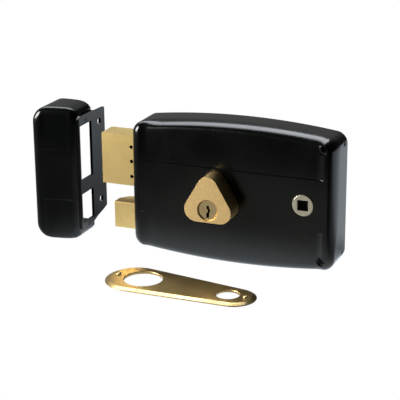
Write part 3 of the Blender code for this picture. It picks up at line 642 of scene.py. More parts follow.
def distance_to_ring(points, ring):
    """Shortest distance in the plane from each point to a closed ring of points."""
    starts, ends = ring, np.roll(ring, -1, axis=0)
    along = ends - starts
    length = (along ** 2).sum(axis=1)
    best = np.full(len(points), 1e9)
    for begin, step, size in zip(starts, along, length):
        offset = points - begin
        t = np.clip((offset @ step) / max(size, 1e-12), 0, 1)
        best = np.minimum(best, np.hypot(*(offset - t[:, None] * step).T))
    return best

# %% Grid lines that crowd where the surface turns
def edge_steps(width, count):
    """Offsets from an edge that follow a quarter round, closest together at the edge."""
    return [width * (1 - math.cos(math.pi / 2 * i / count)) for i in range(count + 1)]


def spread(low, high, pitch):
    count = max(1, round((high - low) / pitch))
    return [low + (high - low) * i / count for i in range(1, count)]


ROLL_IN = 5.0                          # width of the rolled front edge
ROLL_LEAST, ROLL_MORE = 4.6, 6.9       # its depth below and at the left, and what the top and right add
BAND, CREASE, CREASE_WIDE = 17.4, 1.3, 0.5   # half height of the band, depth and width of its step
PANEL_LEFT, PANEL_RIGHT = -65.0, 63.8


CREASE_LINES = (-1.4, -0.7, -0.5, -0.4, -0.3, -0.2, -0.1, 0.0, 0.1, 0.2, 0.3, 0.4, 0.5, 0.7, 1.4)


def grid_lines(half_length, creases):
    """Coordinates from one edge to the other, dense at the edges and at each crease."""
    steps = edge_steps(ROLL_IN, 14)
    inner = half_length - ROLL_IN
    marks = sorted([-inner] + [c + d for c in creases for d in CREASE_LINES] + [inner])
    lines = [-half_length + s for s in steps]
    for low, high in zip(marks, marks[1:]):
        if high - low > 2.2:
            lines += spread(low, high, 2.0)
        lines.append(high)
    lines += [half_length - s for s in reversed(steps)][1:]
    return lines

# %% Build the cover's front and walls
def cover_front():
    """Grid of (x, y, z) in millimetres for the front, rows by columns."""
    columns = grid_lines(reach, [PANEL_LEFT + 1.2, PANEL_RIGHT - 1.2])
    rows = grid_lines(mid_height, [-BAND, BAND])
    hold = 24.0
    points = []
    for v in rows:
        for x in columns:
            half = case_half_height(x)
            rest = mid_height - ROLL_IN
            if abs(v) <= hold:
                z = v
            elif abs(v) <= rest:
                z = math.copysign(hold + (abs(v) - hold) * (half - ROLL_IN - hold) / (rest - hold), v)
            else:
                z = math.copysign(half - (mid_height - abs(v)), v)
            points.append((x, z))
    flat = np.array(points)
    xs = np.linspace(-reach, reach, 500)
    upper = [(x, case_half_height(x)) for x in xs]
    ring = np.array(upper + [(x, -z) for x, z in reversed(upper)])
    inside = np.minimum(distance_to_ring(flat, ring), ROLL_IN)
    high_right = smooth_step(flat[:, 1], -40.0, -10.0) * smooth_step(flat[:, 0], -66.0, -50.0)
    quarter_round = 1 - np.sqrt(np.clip(1 - (1 - inside / ROLL_IN) ** 2, 0, 1))
    depth = case_low[1] + (ROLL_LEAST + ROLL_MORE * high_right) * quarter_round
    beyond = np.clip(np.abs(flat[:, 1]) - BAND, 0, None)
    across = smooth_step(flat[:, 0], PANEL_LEFT, PANEL_LEFT + 5.0) * (
        1 - smooth_step(flat[:, 0], PANEL_RIGHT - 5.0, PANEL_RIGHT))
    depth += CREASE * smooth_step(beyond, 0.0, CREASE_WIDE) * across
    depth += 1.1 * (beyond / 30.0) ** 2
    return np.column_stack((flat[:, 0], depth, flat[:, 1])), len(rows), len(columns)


def cover_blank():
    """Closed block: rolled front and straight walls back to the door."""
    grid, rows, columns = cover_front()
    form = bmesh.new()
    verts = [form.verts.new(Vector(p) * MM) for p in grid]
    for r in range(rows - 1):
        for c in range(columns - 1):
            at = r * columns + c
            form.faces.new((verts[at], verts[at + 1], verts[at + columns + 1], verts[at + columns]))
    bmesh.ops.remove_doubles(form, verts=form.verts, dist=0.001 * MM)
    border = [e for e in form.edges if e.is_boundary]
    pushed = bmesh.ops.extrude_edge_only(form, edges=border)["geom"]
    for vert in (g for g in pushed if isinstance(g, bmesh.types.BMVert)):
        vert.co.y = 0.0
    bmesh.ops.contextual_create(form, geom=[e for e in form.edges if e.is_boundary])
    bmesh.ops.recalc_face_normals(form, faces=form.faces)
    mesh = bpy.data.meshes.new("cover_blank")
    form.to_mesh(mesh)
    form.free()
    return mesh


cover_shell = cover_blank()
print("cover blank faces", len(cover_shell.polygons))

# %% [markdown]
# The blank still needs its holes. A hole in a casting is never a clean cut: its lip is broken
# by a small chamfer. Each cutter is therefore a loft, straight through the wall and flared
# where it leaves the outer face, and one Boolean with all of them cuts the blank.

# %% Helpers for lofts and cuts
def loft(rings, ends=True):
    """A closed skin through rings of equal length, each a list of points in millimetres."""
    form = bmesh.new()
    loops = [[form.verts.new(Vector(p) * MM) for p in ring] for ring in rings]
    count = len(rings[0])
    for first, second in zip(loops, loops[1:]):
        for i in range(count):
            j = (i + 1) % count
            form.faces.new((first[i], first[j], second[j], second[i]))
    if ends:
        form.faces.new(list(reversed(loops[0])))
        form.faces.new(loops[-1])
    bmesh.ops.remove_doubles(form, verts=form.verts, dist=0.0001 * MM)
    bmesh.ops.recalc_face_normals(form, faces=form.faces)
    mesh = bpy.data.meshes.new("loft")
    form.to_mesh(mesh)
    form.free()
    return mesh


def ring(axis, centre, radius, level, count=48):
    """A circle square to an axis: level is its place along that axis."""
    points = []
    for i in range(count):
        turn_angle = 2 * math.pi * (i + 0.37) / count
        a = centre[0] + radius * math.cos(turn_angle)
        b = centre[1] + radius * math.sin(turn_angle)
        points.append({"X": (level, a, b), "Y": (a, level, b), "Z": (a, b, level)}[axis])
    return points


def lathe(axis, centre, profile, count=48):
    """Rings from a profile of (radius, level) pairs."""
    return loft([ring(axis, centre, radius, level, count) for radius, level in profile])


def box_rings(low, high):
    """Two rectangles across Y that bound a box."""
    flat = [(low[0], low[2]), (high[0], low[2]), (high[0], high[2]), (low[0], high[2])]
    return [[(x, y, z) for x, z in flat] for y in (low[1], high[1])]


def hull_ring(circles, grow, level, count=16):
    """Outline around three or more circles, each grown by the same amount, across Y."""
    points = []
    total = len(circles)
    for i, (x, z, radius) in enumerate(circles):
        before, after = circles[i - 1], circles[(i + 1) % total]
        angles = []
        for (ax, az, ar), (bx, bz, br) in ((before, circles[i]), (circles[i], after)):
            heading = math.atan2(bz - az, bx - ax)
            angles.append(heading - math.pi / 2 + math.asin((ar - br) / math.hypot(bx - ax, bz - az)))
        start, end = angles
        while end < start:
            end += 2 * math.pi
        for k in range(count):
            at = start + (end - start) * k / (count - 1)
            points.append((x + (radius + grow) * math.cos(at), level, z + (radius + grow) * math.sin(at)))
    return points


def carve(mesh, cutters=(), joins=()):
    """Join meshes to a blank, then cut all the cutters from it at once."""
    blank = temporary("carved_blank", mesh)
    used = []
    for operation, group in (("UNION", joins), ("DIFFERENCE", cutters)):
        if not group:
            continue
        tools = bpy.data.collections.new("cutting_tools")
        for tool in group:
            piece = bpy.data.objects.new("tool", tool)
            tools.objects.link(piece)
            used.append(piece)
        cut = blank.modifiers.new(operation.lower(), "BOOLEAN")
        cut.operation, cut.operand_type, cut.collection, cut.solver = operation, "COLLECTION", tools, "EXACT"
    result = evaluated_mesh(blank)
    for piece in used:
        bpy.data.objects.remove(piece, do_unlink=True)
    return result

# %% Cut the cover and finish it
BODY_CIRCLES = [(key_x - 8.1, key_z - 0.3, 8.0), (key_x + 8.1, key_z - 0.3, 8.0), (key_x, key_z + 15.3, 7.0)]
front_y = case_low[1]


def case_ring(inset, level):
    """The case's outline moved in, at one depth."""
    xs = [reach * math.sin(math.pi * (i / 60 - 0.5)) for i in range(61)]
    upper = np.array([(x, case_half_height(x)) for x in xs])
    outline = np.vstack((upper, upper[::-1] * (1, -1)))
    along = np.roll(outline, -1, axis=0) - np.roll(outline, 1, axis=0)
    along /= np.linalg.norm(along, axis=1)[:, None]
    moved = outline + inset * np.column_stack((along[:, 1], -along[:, 0]))
    return [(x, level, z) for x, z in moved]


def case_hollow():
    """The room inside, following the rolled edge at about the wall's thickness."""
    depths = [(2.0, 5.0), (2.0, -14.0), (2.7, -17.5), (3.7, -20.8), (5.2, -22.9), (7.2, -24.2)]
    return loft([case_ring(inset, level) for inset, level in depths])


def flared_hole(x, z, radius, depth, flare=0.45):
    mouth = radius + flare
    profile = [(radius, depth + 6), (radius, depth + flare), (mouth, depth), (mouth, depth - 4)]
    return lathe("Y", (x, z), profile)


def window(x, z_low, z_high, y_low, y_high):
    return loft(box_rings((x - 4, y_low, z_low), (x + 4, y_high, z_high)))


screw_x, screw_z = 61.5, 37.0
cover_cuts = [flared_hole(spindle_x, 0.0, 7.3, front_y, 0.35)]
cover_cuts += [flared_hole(screw_x, side * screw_z, 2.75, front_y + 1.5, 0.5) for side in (-1, 1)]
body_levels = [(0.3, 0.0), (0.3, front_y + 0.5), (0.8, front_y), (0.8, front_y - 4)]
cover_cuts.append(loft([hull_ring(BODY_CIRCLES, grow, level) for grow, level in body_levels]))
bolt_low, bolt_high = corners("deadbolt_head")
latch_low, latch_high = corners("latch_head")
for low, high in ((bolt_low, bolt_high), (latch_low, latch_high)):
    cover_cuts.append(window(case_low[0], low[2] - 0.3, high[2] + 0.3, low[1] - 0.3, high[1] + 0.3))
cover_cuts += [lathe("X", (-6.0, side * 37.0), [(1.8, reach - 5), (1.8, reach + 3)], 24) for side in (-1, 1)]
cover_mesh = carve(carve(cover_shell, [case_hollow()]), cover_cuts)
finish_piece("case_cover_cast", cover_mesh, node_body("case_cover"), enamel,
             ["case_cover"], angle=38, even=False)
print("case cover faces", len(cover_mesh.polygons))

# %% Screws sunk in the case
def sunk_screw(name, x, z, turned_by):
    """Black pan head with a slot, below the mouth of its hole."""
    seat, wide = front_y + 5.2, 2.45
    profile = [(0.7, 4.0), (0.7, 1.0), (1.0, 1.0), (1.0, 0.35), (0.93, 0.12), (0.75, 0.03),
               (0.4, 0.0), (0.02, 0.0)]
    head = lathe("Y", (x, z), [(wide * share, seat + drop) for share, drop in profile], 32)
    slot_cut = loft(box_rings((-3.0, seat - 1, -0.32), (3.0, seat + 0.6, 0.32)))
    turn = Matrix.Rotation(math.radians(turned_by), 4, "Y")
    slot_cut.transform(Matrix.Translation(Vector((x, 0, z)) * MM) @ turn)
    return finish_piece(name, carve(head, [slot_cut]), "root", enamel, angle=30)


sunk_screw("case_screw_upper", screw_x, screw_z, 35)
sunk_screw("case_screw_lower", screw_x, -screw_z, -20)
print("case screws ready")

# %% [markdown]
# ## The keep
# The keep's cover is cast in the same way, but its front falls away towards the striking plate
# and it is open on that side. The plate is pressed steel with windows for both bolts, and its
# tail folds round the frame, where two screws hold it.

# %% Keep cover
keep_low, keep_high = corners("keep_cover")
KEEP_SLOPE, KEEP_ROLL_IN, KEEP_ROLL_BACK, KEEP_TURN_IN = 0.1818, 5.4, 4.4, 4.5
KEEP_SHOULDER = [(0.0, 42.4), (1.6, 44.6), (4.2, 46.2), (8.0, 47.0), (13.0, 47.2), (18.5, 47.2)]
keep_points = [(keep_high[0] - back, height) for back, height in KEEP_SHOULDER]
for step in range(1, 13):
    turned_by = math.radians(90 + 90 * step / 12)
    keep_points.append((-133 + 11 * math.cos(turned_by), 36.2 + 11 * math.sin(turned_by)))
keep_top = np.array(keep_points)[::-1]


def keep_half_height(x):
    """A smooth bow through the outline's stations."""
    return float(np.interp(x, keep_top[:, 0], keep_top[:, 1]))


def keep_front_level(x):
    return min(keep_low[1] + KEEP_SLOPE * (x + 138.0), keep_low[1] + KEEP_SLOPE * 25.2)


def keep_blank():
    """Closed block: rolled, sloping front and straight walls back to the frame."""
    left, right = keep_low[0], keep_high[0]
    columns = [left + s for s in edge_steps(11.0, 12)]
    columns += spread(columns[-1], right - KEEP_TURN_IN, 1.6) + [right - KEEP_TURN_IN]
    columns += [right - s for s in reversed(edge_steps(KEEP_TURN_IN, 9))][1:]
    top = keep_high[2]
    rows = grid_lines(top, [-BAND, BAND])
    hold, rest = 24.0, top - ROLL_IN
    flat = []
    for v in rows:
        for x in columns:
            half = keep_half_height(x)
            if abs(v) <= hold:
                z = v
            elif abs(v) <= rest:
                z = math.copysign(hold + (abs(v) - hold) * (half - ROLL_IN - hold) / (rest - hold), v)
            else:
                z = math.copysign(half - (top - abs(v)), v)
            flat.append((x, z))
    flat = np.array(flat)
    rim = np.vstack((keep_top[::-1], keep_top * (1, -1)))
    lead = np.array([(right + 30, rim[0][1])])
    rim = np.vstack((lead, rim, lead * (1, -1)))
    inside = np.minimum(distance_to_ring(flat, rim), KEEP_ROLL_IN)
    roll = KEEP_ROLL_BACK * (1 - np.sqrt(np.clip(1 - (1 - inside / KEEP_ROLL_IN) ** 2, 0, 1)))
    from_right = np.minimum(right - flat[:, 0], KEEP_TURN_IN) / KEEP_TURN_IN
    turn_in = 1.3 * (1 - np.sqrt(np.clip(1 - (1 - from_right) ** 2, 0, 1)))
    slope = np.array([keep_front_level(x) for x in flat[:, 0]])
    beyond = np.clip(np.abs(flat[:, 1]) - BAND, 0, None)
    across = smooth_step(flat[:, 0], left + 6.5, left + 9.0) * (
        1 - smooth_step(flat[:, 0], right - 7.0, right - 4.0))
    depth = slope + roll + turn_in + 0.45 * smooth_step(beyond, 0.0, CREASE_WIDE) * across
    form = bmesh.new()
    verts = [form.verts.new(Vector((x, y, z)) * MM) for (x, z), y in zip(flat, depth)]
    wide = len(columns)
    for r in range(len(rows) - 1):
        for c in range(wide - 1):
            at = r * wide + c
            form.faces.new((verts[at], verts[at + 1], verts[at + wide + 1], verts[at + wide]))
    bmesh.ops.remove_doubles(form, verts=form.verts, dist=0.001 * MM)
    border = [e for e in form.edges if e.is_boundary]
    pushed = bmesh.ops.extrude_edge_only(form, edges=border)["geom"]
    back = [g for g in pushed if isinstance(g, bmesh.types.BMVert)]
    for vert in back:
        vert.co.y = 0.0
    bmesh.ops.contextual_create(form, geom=[e for e in form.edges if e.is_boundary])
    bmesh.ops.recalc_face_normals(form, faces=form.faces)
    mesh = bpy.data.meshes.new("keep_blank")
    form.to_mesh(mesh)
    form.free()
    return mesh


def keep_hollow():
    """The space inside: the outline moved in by the wall, open behind and at the plate."""
    upper = [(keep_high[0] + 5, 40.4)]
    upper += [(keep_high[0] - back, height - WALL) for back, height in KEEP_SHOULDER]
    for step in range(1, 7):
        turned_by = math.radians(90 + 90 * step / 6)
        upper.append((-133 + 9 * math.cos(turned_by), 36.2 + 9 * math.sin(turned_by)))
    outline = upper + [(x, -z) for x, z in reversed(upper)]
    front = [(x, keep_low[1] + KEEP_SLOPE * (x + 138.0) + WALL, z * 0.96) for x, z in outline]
    return loft([front, [(x, 5.0, z) for x, z in outline]])


lugs = [loft(box_rings((-119.0, -15.0, z), (keep_high[0], -9.0, z + 6.0))) for z in (35.0, -41.0)]
lug_cuts = [lathe("X", (-12.0, side * 36.9), [(1.3, -125.0), (1.3, -108.0)], 16) for side in (-1, 1)]
keep_hollowed = carve(keep_blank(), [keep_hollow()])
keep_mesh = carve(keep_hollowed, lug_cuts, lugs)
finish_piece("keep_cover_cast", keep_mesh, node_body("keep_cover"), enamel,
             ["keep_cover"], angle=38)
print("keep cover faces", len(keep_mesh.polygons))

# %% Keep plate and its rivets
keep_plate = soften("keep_plate", 0.35, enamel, segments=2, holed=True)
for node in ("keep_rivet_upper", "keep_rivet_lower"):
    soften(node, 0.25, enamel, segments=2)
print("keep plate faces", len(keep_plate.data.polygons))

# %% [markdown]
# ## The escutcheon
# The outer plate is pressed from brass sheet: a flat top with a wide round end for the
# cylinder and a narrow one for the spindle, and a soft shoulder all round that ends in a thin
# lip. The press leaves no sharp line anywhere, so the plate is lofted through outlines moved
# in step by step, each at its own height.

# %% Press the plate
plate_low = corners("escutcheon")[0]
WIDE_HOLE, NARROW_HOLE = (-41.4, -73.4), (18.4, -78.0)
WIDE_HOLE_RADIUS, NARROW_HOLE_RADIUS = 12.4, 7.3
WIDE_END, NARROW_END = 20.2, 14.4
along_plate = (Vector(NARROW_HOLE) - Vector(WIDE_HOLE)).normalized()
across_plate = Vector((-along_plate.y, along_plate.x))
wide_end, narrow_end = Vector(WIDE_HOLE) - along_plate * 5.0, Vector(NARROW_HOLE) + along_plate * 4.0


def spoon_ring(inset, level):
    """The plate's outline moved in, at one height."""
    lean = math.asin((WIDE_END - NARROW_END) / (narrow_end - wide_end).length)
    points = []
    for centre, radius, start, sweep, count in (
            (narrow_end, NARROW_END - inset, lean - math.pi / 2, math.pi - 2 * lean, 44),
            (wide_end, WIDE_END - inset, math.pi / 2 - lean, math.pi + 2 * lean, 60)):
        for k in range(count):
            at = start + sweep * k / (count - 1)
            spot = centre + radius * (math.cos(at) * along_plate + math.sin(at) * across_plate)
            points.append((spot.x, spot.y, level))
    return points


floor_z = plate_low[2]
shoulder = [(1.2, 0.0), (0.35, 0.0), (0.1, 0.08), (0.0, 0.25), (0.03, 0.45), (0.15, 0.62), (0.4, 0.78),
            (0.75, 0.92), (1.1, 1.06), (1.5, 1.25), (1.9, 1.44), (2.3, 1.6), (2.7, 1.71), (3.1, 1.775),
            (3.5, 1.8), (4.3, 1.8)]
plate_mesh = loft([spoon_ring(inset, floor_z + rise) for inset, rise in shoulder])


def lipped_hole(centre, radius):
    """Straight through the sheet, eased where it meets each face."""
    profile = [(radius + 0.4, -2.0), (radius + 0.4, 0.0), (radius + 0.1, 0.12), (radius, 0.4), (radius, 1.35),
               (radius + 0.08, 1.6), (radius + 0.25, 1.76), (radius + 0.5, 1.82), (radius + 0.5, 9.0)]
    return lathe("Z", centre, [(r, floor_z + rise) for r, rise in profile], 96)


plate_cut = carve(plate_mesh, [lipped_hole(WIDE_HOLE, WIDE_HOLE_RADIUS),
                               lipped_hole(NARROW_HOLE, NARROW_HOLE_RADIUS)])
escutcheon = finish_piece("escutcheon_pressed", plate_cut, node_body("escutcheon"), plate_brass,
                          ["escutcheon"], angle=40)
escutcheon.visible_glossy = False      # laid apart from the lock: kept out of its reflections
print("escutcheon faces", len(plate_cut.polygons))

# %% Its two pins
def pin_head(node):
    """A low domed head."""
    low, high = corners(node)
    centre = (low[0] + high[0]) / 2, (low[1] + high[1]) / 2
    wide, tall = (high[0] - low[0]) / 2, high[2] - low[2]
    profile = [(0.9, 0.0), (1.0, 0.12), (0.98, 0.3), (0.88, 0.55), (0.7, 0.76), (0.45, 0.92),
               (0.2, 0.985), (0.03, 1.0)]
    mesh = lathe("Z", centre, [(wide * share, low[2] + tall * rise) for share, rise in profile], 40)
    return finish_piece(node + "_turned", mesh, node_body(node), plate_brass,
                        [node], angle=50)


pin_head("escutcheon_stud_right")
pin_head("escutcheon_stud_left")
print("pin heads ready")

# %% [markdown]
# ## Cylinders, hub and flat pieces
# The inner cylinder's triangular body and both plugs keep small bright edges. The pressed and
# blanked steel pieces inside are rounded very lightly, as the press leaves them.

# %% Cylinders and hub
soften("inner_cylinder_body", 0.4, cylinder_brass)
soften("inner_plug", 0.18, plug_finish, segments=2)
soften("spindle_hub", 0.3, hub_finish)
soften("outer_cylinder_body", 0.4, cylinder_brass)
soften("outer_plug", 0.2, outer_plug_finish, segments=2)
print("cylinders and hub ready")

# %% Pressed, turned and blanked pieces
light_edges = {
    "back_plate": (0.25, zinc, "zinc_plate"), "forend_plate": (0.25, zinc, "zinc_plate"),
    "spring_stop": (0.2, zinc, "zinc_plate"), "drive_gear": (0.12, bolt_brass, "satin_brass"),
    "transfer_gear": (0.12, steel, "bright_steel"), "bolt_pinion": (0.1, steel, "bright_steel"),
    "deadbolt_tail": (0.15, steel, "bright_steel"), "latch_tail": (0.15, steel, "bright_steel"),
    "fixing_sleeve_upper": (0.2, zinc, "zinc_plate"), "fixing_sleeve_lower": (0.2, zinc, "zinc_plate"),
    "cylinder_nut_left": (0.2, zinc, "zinc_plate"), "cylinder_nut_right": (0.2, zinc, "zinc_plate"),
    "latch_guide_left": (0.15, steel, "bright_steel"), "latch_guide_right": (0.15, steel, "bright_steel"),
    "plug_clip": (0.1, steel, "bright_steel"),
}
for node, (radius, finish, slot) in light_edges.items():
    soften(node, radius, finish, segments=2, holed=node.endswith("_plate"))
print("softened", len(light_edges), "pieces")

# %% [markdown]
# ## Springs
# A coil follows a rule, so one node tree winds every spring in the lock: a helix whose pitch
# closes up at both ends, given a round wire and capped. Its inputs are the coil's radius,
# height, number of turns and wire size.

# %% The coil tree
def socket_ids(tree):
    return {item.name: item.identifier for item in tree.interface.items_tree
            if item.item_type == "SOCKET" and item.in_out == "INPUT"}


def new_modeller(name, inputs):
    tree = bpy.data.node_groups.new(name, "GeometryNodeTree")
    tree.interface.new_socket("Geometry", in_out="OUTPUT", socket_type="NodeSocketGeometry")
    for label, kind, value in inputs:
        socket = tree.interface.new_socket(label, in_out="INPUT", socket_type=kind)
        if value is not None:
            socket.default_value = value
    return tree, tree.nodes.new("NodeGroupInput"), tree.nodes.new("NodeGroupOutput")


def close_modeller(tree, geometry, source, sink):
    real = add(tree, "GeometryNodeRealizeInstances")
    paint = add(tree, "GeometryNodeSetMaterial")
    wire(tree, geometry, real.inputs[0])
    wire(tree, real.outputs[0], paint.inputs["Geometry"])
    wire(tree, source.outputs["Finish"], paint.inputs["Material"])
    wire(tree, paint.outputs[0], sink.inputs[0])


def build_coil():
    tree, source, sink = new_modeller("wound_coil", [
        ("Radius", "NodeSocketFloat", 0.003), ("Height", "NodeSocketFloat", 0.02),
        ("Turns", "NodeSocketFloat", 7.0), ("Wire", "NodeSocketFloat", 0.0005),
        ("Steps", "NodeSocketInt", 300), ("Sides", "NodeSocketInt", 12),
        ("Finish", "NodeSocketMaterial", None)])
    line = add(tree, "GeometryNodeCurvePrimitiveLine")
    steps = add(tree, "GeometryNodeResampleCurve")
    wire(tree, line.outputs[0], steps.inputs["Curve"])
    wire(tree, source.outputs["Steps"], steps.inputs["Count"])
    along = add(tree, "GeometryNodeSplineParameter").outputs["Factor"]
    turned = math_node(tree, "MULTIPLY", along, source.outputs["Turns"])
    angle = math_node(tree, "MULTIPLY", turned, 2 * math.pi)
    x = math_node(tree, "MULTIPLY", math_node(tree, "COSINE", angle), source.outputs["Radius"])
    y = math_node(tree, "MULTIPLY", math_node(tree, "SINE", angle), source.outputs["Radius"])
    wave = math_node(tree, "SINE", math_node(tree, "MULTIPLY", along, 2 * math.pi))
    closed = math_node(tree, "MULTIPLY", wave, 0.1)
    rise = math_node(tree, "MULTIPLY", math_node(tree, "SUBTRACT", along, closed), source.outputs["Height"])
    spot = add(tree, "ShaderNodeCombineXYZ")
    for socket, value in zip(spot.inputs, (x, y, rise)):
        wire(tree, value, socket)
    place = add(tree, "GeometryNodeSetPosition")
    wire(tree, steps.outputs[0], place.inputs["Geometry"])
    wire(tree, spot.outputs[0], place.inputs["Position"])
    section = add(tree, "GeometryNodeCurvePrimitiveCircle")
    wire(tree, source.outputs["Sides"], section.inputs["Resolution"])
    wire(tree, source.outputs["Wire"], section.inputs["Radius"])
    skin = add(tree, "GeometryNodeCurveToMesh")
    skin.inputs["Fill Caps"].default_value = True
    wire(tree, place.outputs[0], skin.inputs["Curve"])
    wire(tree, section.outputs[0], skin.inputs["Profile Curve"])
    close_modeller(tree, skin.outputs[0], source, sink)
    return tree


coil_tree = build_coil()
print("tree", coil_tree.name)

# %% Wind the springs
def grown(tree, settings, matrix):
    """Run a node tree on an empty mesh and place the plain result."""
    blank = temporary("grown_blank", bpy.data.meshes.new("grown_blank"))
    modifier = blank.modifiers.new("tree", "NODES")
    modifier.node_group = tree
    sockets = socket_ids(tree)
    for label, value in settings.items():
        modifier[sockets[label]] = value
    mesh = evaluated_mesh(blank)
    mesh.transform(matrix)
    return mesh


def coil_piece(node, axis, turns, wire_radius, steps, sides=12):
    """A wound spring in the place of a packed one, inside its box."""
    low, high = corners(node)
    span_along = {"X": 0, "Y": 1, "Z": 2}[axis]
    centre = [(a + b) / 2 for a, b in zip(low, high)]
    centre[span_along] = low[span_along] + wire_radius
    height = high[span_along] - low[span_along] - 2 * wire_radius
    wide = min(high[k] - low[k] for k in range(3) if k != span_along) / 2 - wire_radius
    stand = {"Z": Matrix.Identity(4), "X": Matrix.Rotation(math.pi / 2, 4, "Y"),
             "Y": Matrix.Rotation(-math.pi / 2, 4, "X")}[axis]
    settings = {"Radius": wide * MM, "Height": height * MM, "Turns": float(turns), "Wire": wire_radius * MM,
                "Steps": steps, "Sides": sides, "Finish": wire_steel}
    mesh = grown(coil_tree, settings, Matrix.Translation(Vector(centre) * MM) @ stand)
    return finish_piece(node + "_wound", mesh, node_body(node), wire_steel, [node], angle=50)


latch_coil = coil_piece("latch_spring", "X", 9, 0.5, 360)
coil_piece("hub_spring", "Y", 4, 0.5, 200)
for i in range(1, 6):
    coil_piece(f"pin_spring_{i}", "Z", 6, 0.19, 150, sides=8)
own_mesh(latch_coil)
print("latch coil faces", len(latch_coil.data.polygons))

# %% [markdown]
# ## Pins
# A pin is a short turned rod with its ends eased: the key pins come to a blunt point where
# they meet the key, and the drivers above them are nearly flat. They stand in a row at even
# steps, so a second tree turns one and repeats it along an offset.

# %% The turned row tree
def build_turned_row():
    tree, source, sink = new_modeller("turned_row", [
        ("Count", "NodeSocketInt", 1), ("Offset", "NodeSocketVector", (0, 0, 0)),
        ("Radius", "NodeSocketFloat", 0.001), ("Length", "NodeSocketFloat", 0.004),
        ("Foot", "NodeSocketFloat", 0.0004), ("Head", "NodeSocketFloat", 0.0004),
        ("Point", "NodeSocketFloat", 0.5), ("Finish", "NodeSocketMaterial", None)])
    spine = add(tree, "GeometryNodeCurvePrimitiveLine")
    top = add(tree, "ShaderNodeCombineXYZ")
    wire(tree, source.outputs["Length"], top.inputs["Z"])
    wire(tree, top.outputs[0], spine.inputs["End"])
    steps = add(tree, "GeometryNodeResampleCurve")
    steps.inputs["Count"].default_value = 40
    wire(tree, spine.outputs[0], steps.inputs["Curve"])
    along = add(tree, "GeometryNodeSplineParameter").outputs["Length"]
    left_over = math_node(tree, "SUBTRACT", source.outputs["Length"], along)
    foot = math_node(tree, "DIVIDE", along, source.outputs["Foot"])
    head = math_node(tree, "DIVIDE", left_over, source.outputs["Head"])
    nearest = math_node(tree, "MINIMUM", math_node(tree, "MINIMUM", foot, head), 1.0)
    rest = math_node(tree, "SUBTRACT", 1.0, source.outputs["Point"])
    share = math_node(tree, "ADD", source.outputs["Point"], math_node(tree, "MULTIPLY", rest, nearest))
    section = add(tree, "GeometryNodeCurvePrimitiveCircle")
    section.inputs["Resolution"].default_value = 24
    section.inputs["Radius"].default_value = 1.0
    skin = add(tree, "GeometryNodeCurveToMesh")
    skin.inputs["Fill Caps"].default_value = True
    wire(tree, steps.outputs[0], skin.inputs["Curve"])
    wire(tree, math_node(tree, "MULTIPLY", share, source.outputs["Radius"]), skin.inputs["Scale"])
    wire(tree, section.outputs[0], skin.inputs["Profile Curve"])
    places = add(tree, "GeometryNodeMeshLine")
    wire(tree, source.outputs["Count"], places.inputs["Count"])
    wire(tree, source.outputs["Offset"], places.inputs["Offset"])
    repeat = add(tree, "GeometryNodeInstanceOnPoints")
    wire(tree, places.outputs[0], repeat.inputs["Points"])
    wire(tree, skin.outputs[0], repeat.inputs["Instance"])
    close_modeller(tree, repeat.outputs[0], source, sink)
    return tree


row_tree = build_turned_row()
print("tree", row_tree.name)

# %% Turn the pins
def pin_row(name, nodes, foot, head, point, finish):
    """One row of equal pins in the place of packed ones, first to last."""
    boxes = [corners(node) for node in nodes]
    low, high = boxes[0]
    step = (boxes[-1][0][1] - low[1]) / max(1, len(nodes) - 1)
    settings = {"Count": len(nodes), "Offset": (0.0, step * MM, 0.0), "Radius": (high[0] - low[0]) / 2 * MM,
                "Length": (high[2] - low[2]) * MM, "Foot": foot * MM, "Head": head * MM, "Point": point,
                "Finish": finish}
    start = Vector(((low[0] + high[0]) / 2, (low[1] + high[1]) / 2, low[2])) * MM
    mesh = grown(row_tree, settings, Matrix.Translation(start))
    return finish_piece(name, mesh, node_body(nodes[0]), finish, nodes, angle=40)


driver_pins = [f"driver_pin_{i}" for i in range(1, 6)]
pin_row("driver_pins_turned", driver_pins, 0.35, 0.35, 0.72, steel)
for i in range(1, 6):
    pin_row(f"key_pin_{i}_turned", [f"key_pin_{i}"], 1.0, 0.3, 0.45, bolt_brass)
print("pins ready")

# %% [markdown]
# ## Small fixings
# Posts, rivets, studs and screws stay as packed, with their edges rounded and a finish that
# suits each: bright steel for turned parts, black for the screws that show on the case.

# %% Posts, rivets, studs and screws
small_fixings = {
    "bolt_guide_post": (steel, "bright_steel"), "gear_post": (steel, "bright_steel"),
    "hub_spring_post": (steel, "bright_steel"), "latch_rivet": (steel, "bright_steel"),
    "deadbolt_rivet_1": (steel, "bright_steel"), "deadbolt_rivet_2": (steel, "bright_steel"),
    "cylinder_stud_left": (zinc, "zinc_plate"), "cylinder_stud_right": (zinc, "zinc_plate"),
    "outer_cylinder_screw_1": (steel, "bright_steel"), "outer_cylinder_screw_2": (steel, "bright_steel"),
    "cover_screw_lower": (enamel, "black_enamel"), "cover_screw_upper": (enamel, "black_enamel"),
}
for node, (finish, slot) in small_fixings.items():
    soften(node, 0.2, finish, segments=2)
left_bare = [name for name, node in frame["nodes"].items() if not node.hide_render]
print("softened", len(small_fixings), "still bare:", left_bare)

# %% [markdown]
# ## Table and light
# The lock stands on a white table in a white room. Both are even white only when looked at
# directly: what reflections and light receive from them is graded, bright in some places and
# dim in others, so that the glossy black keeps its contrast. The table stops a little way in
# front of the lock, so the glossy front reflects bright table low down and a dim room higher
# up. A long box overhead draws the line along the rolled edge, and a soft key from the left
# lights the brass.

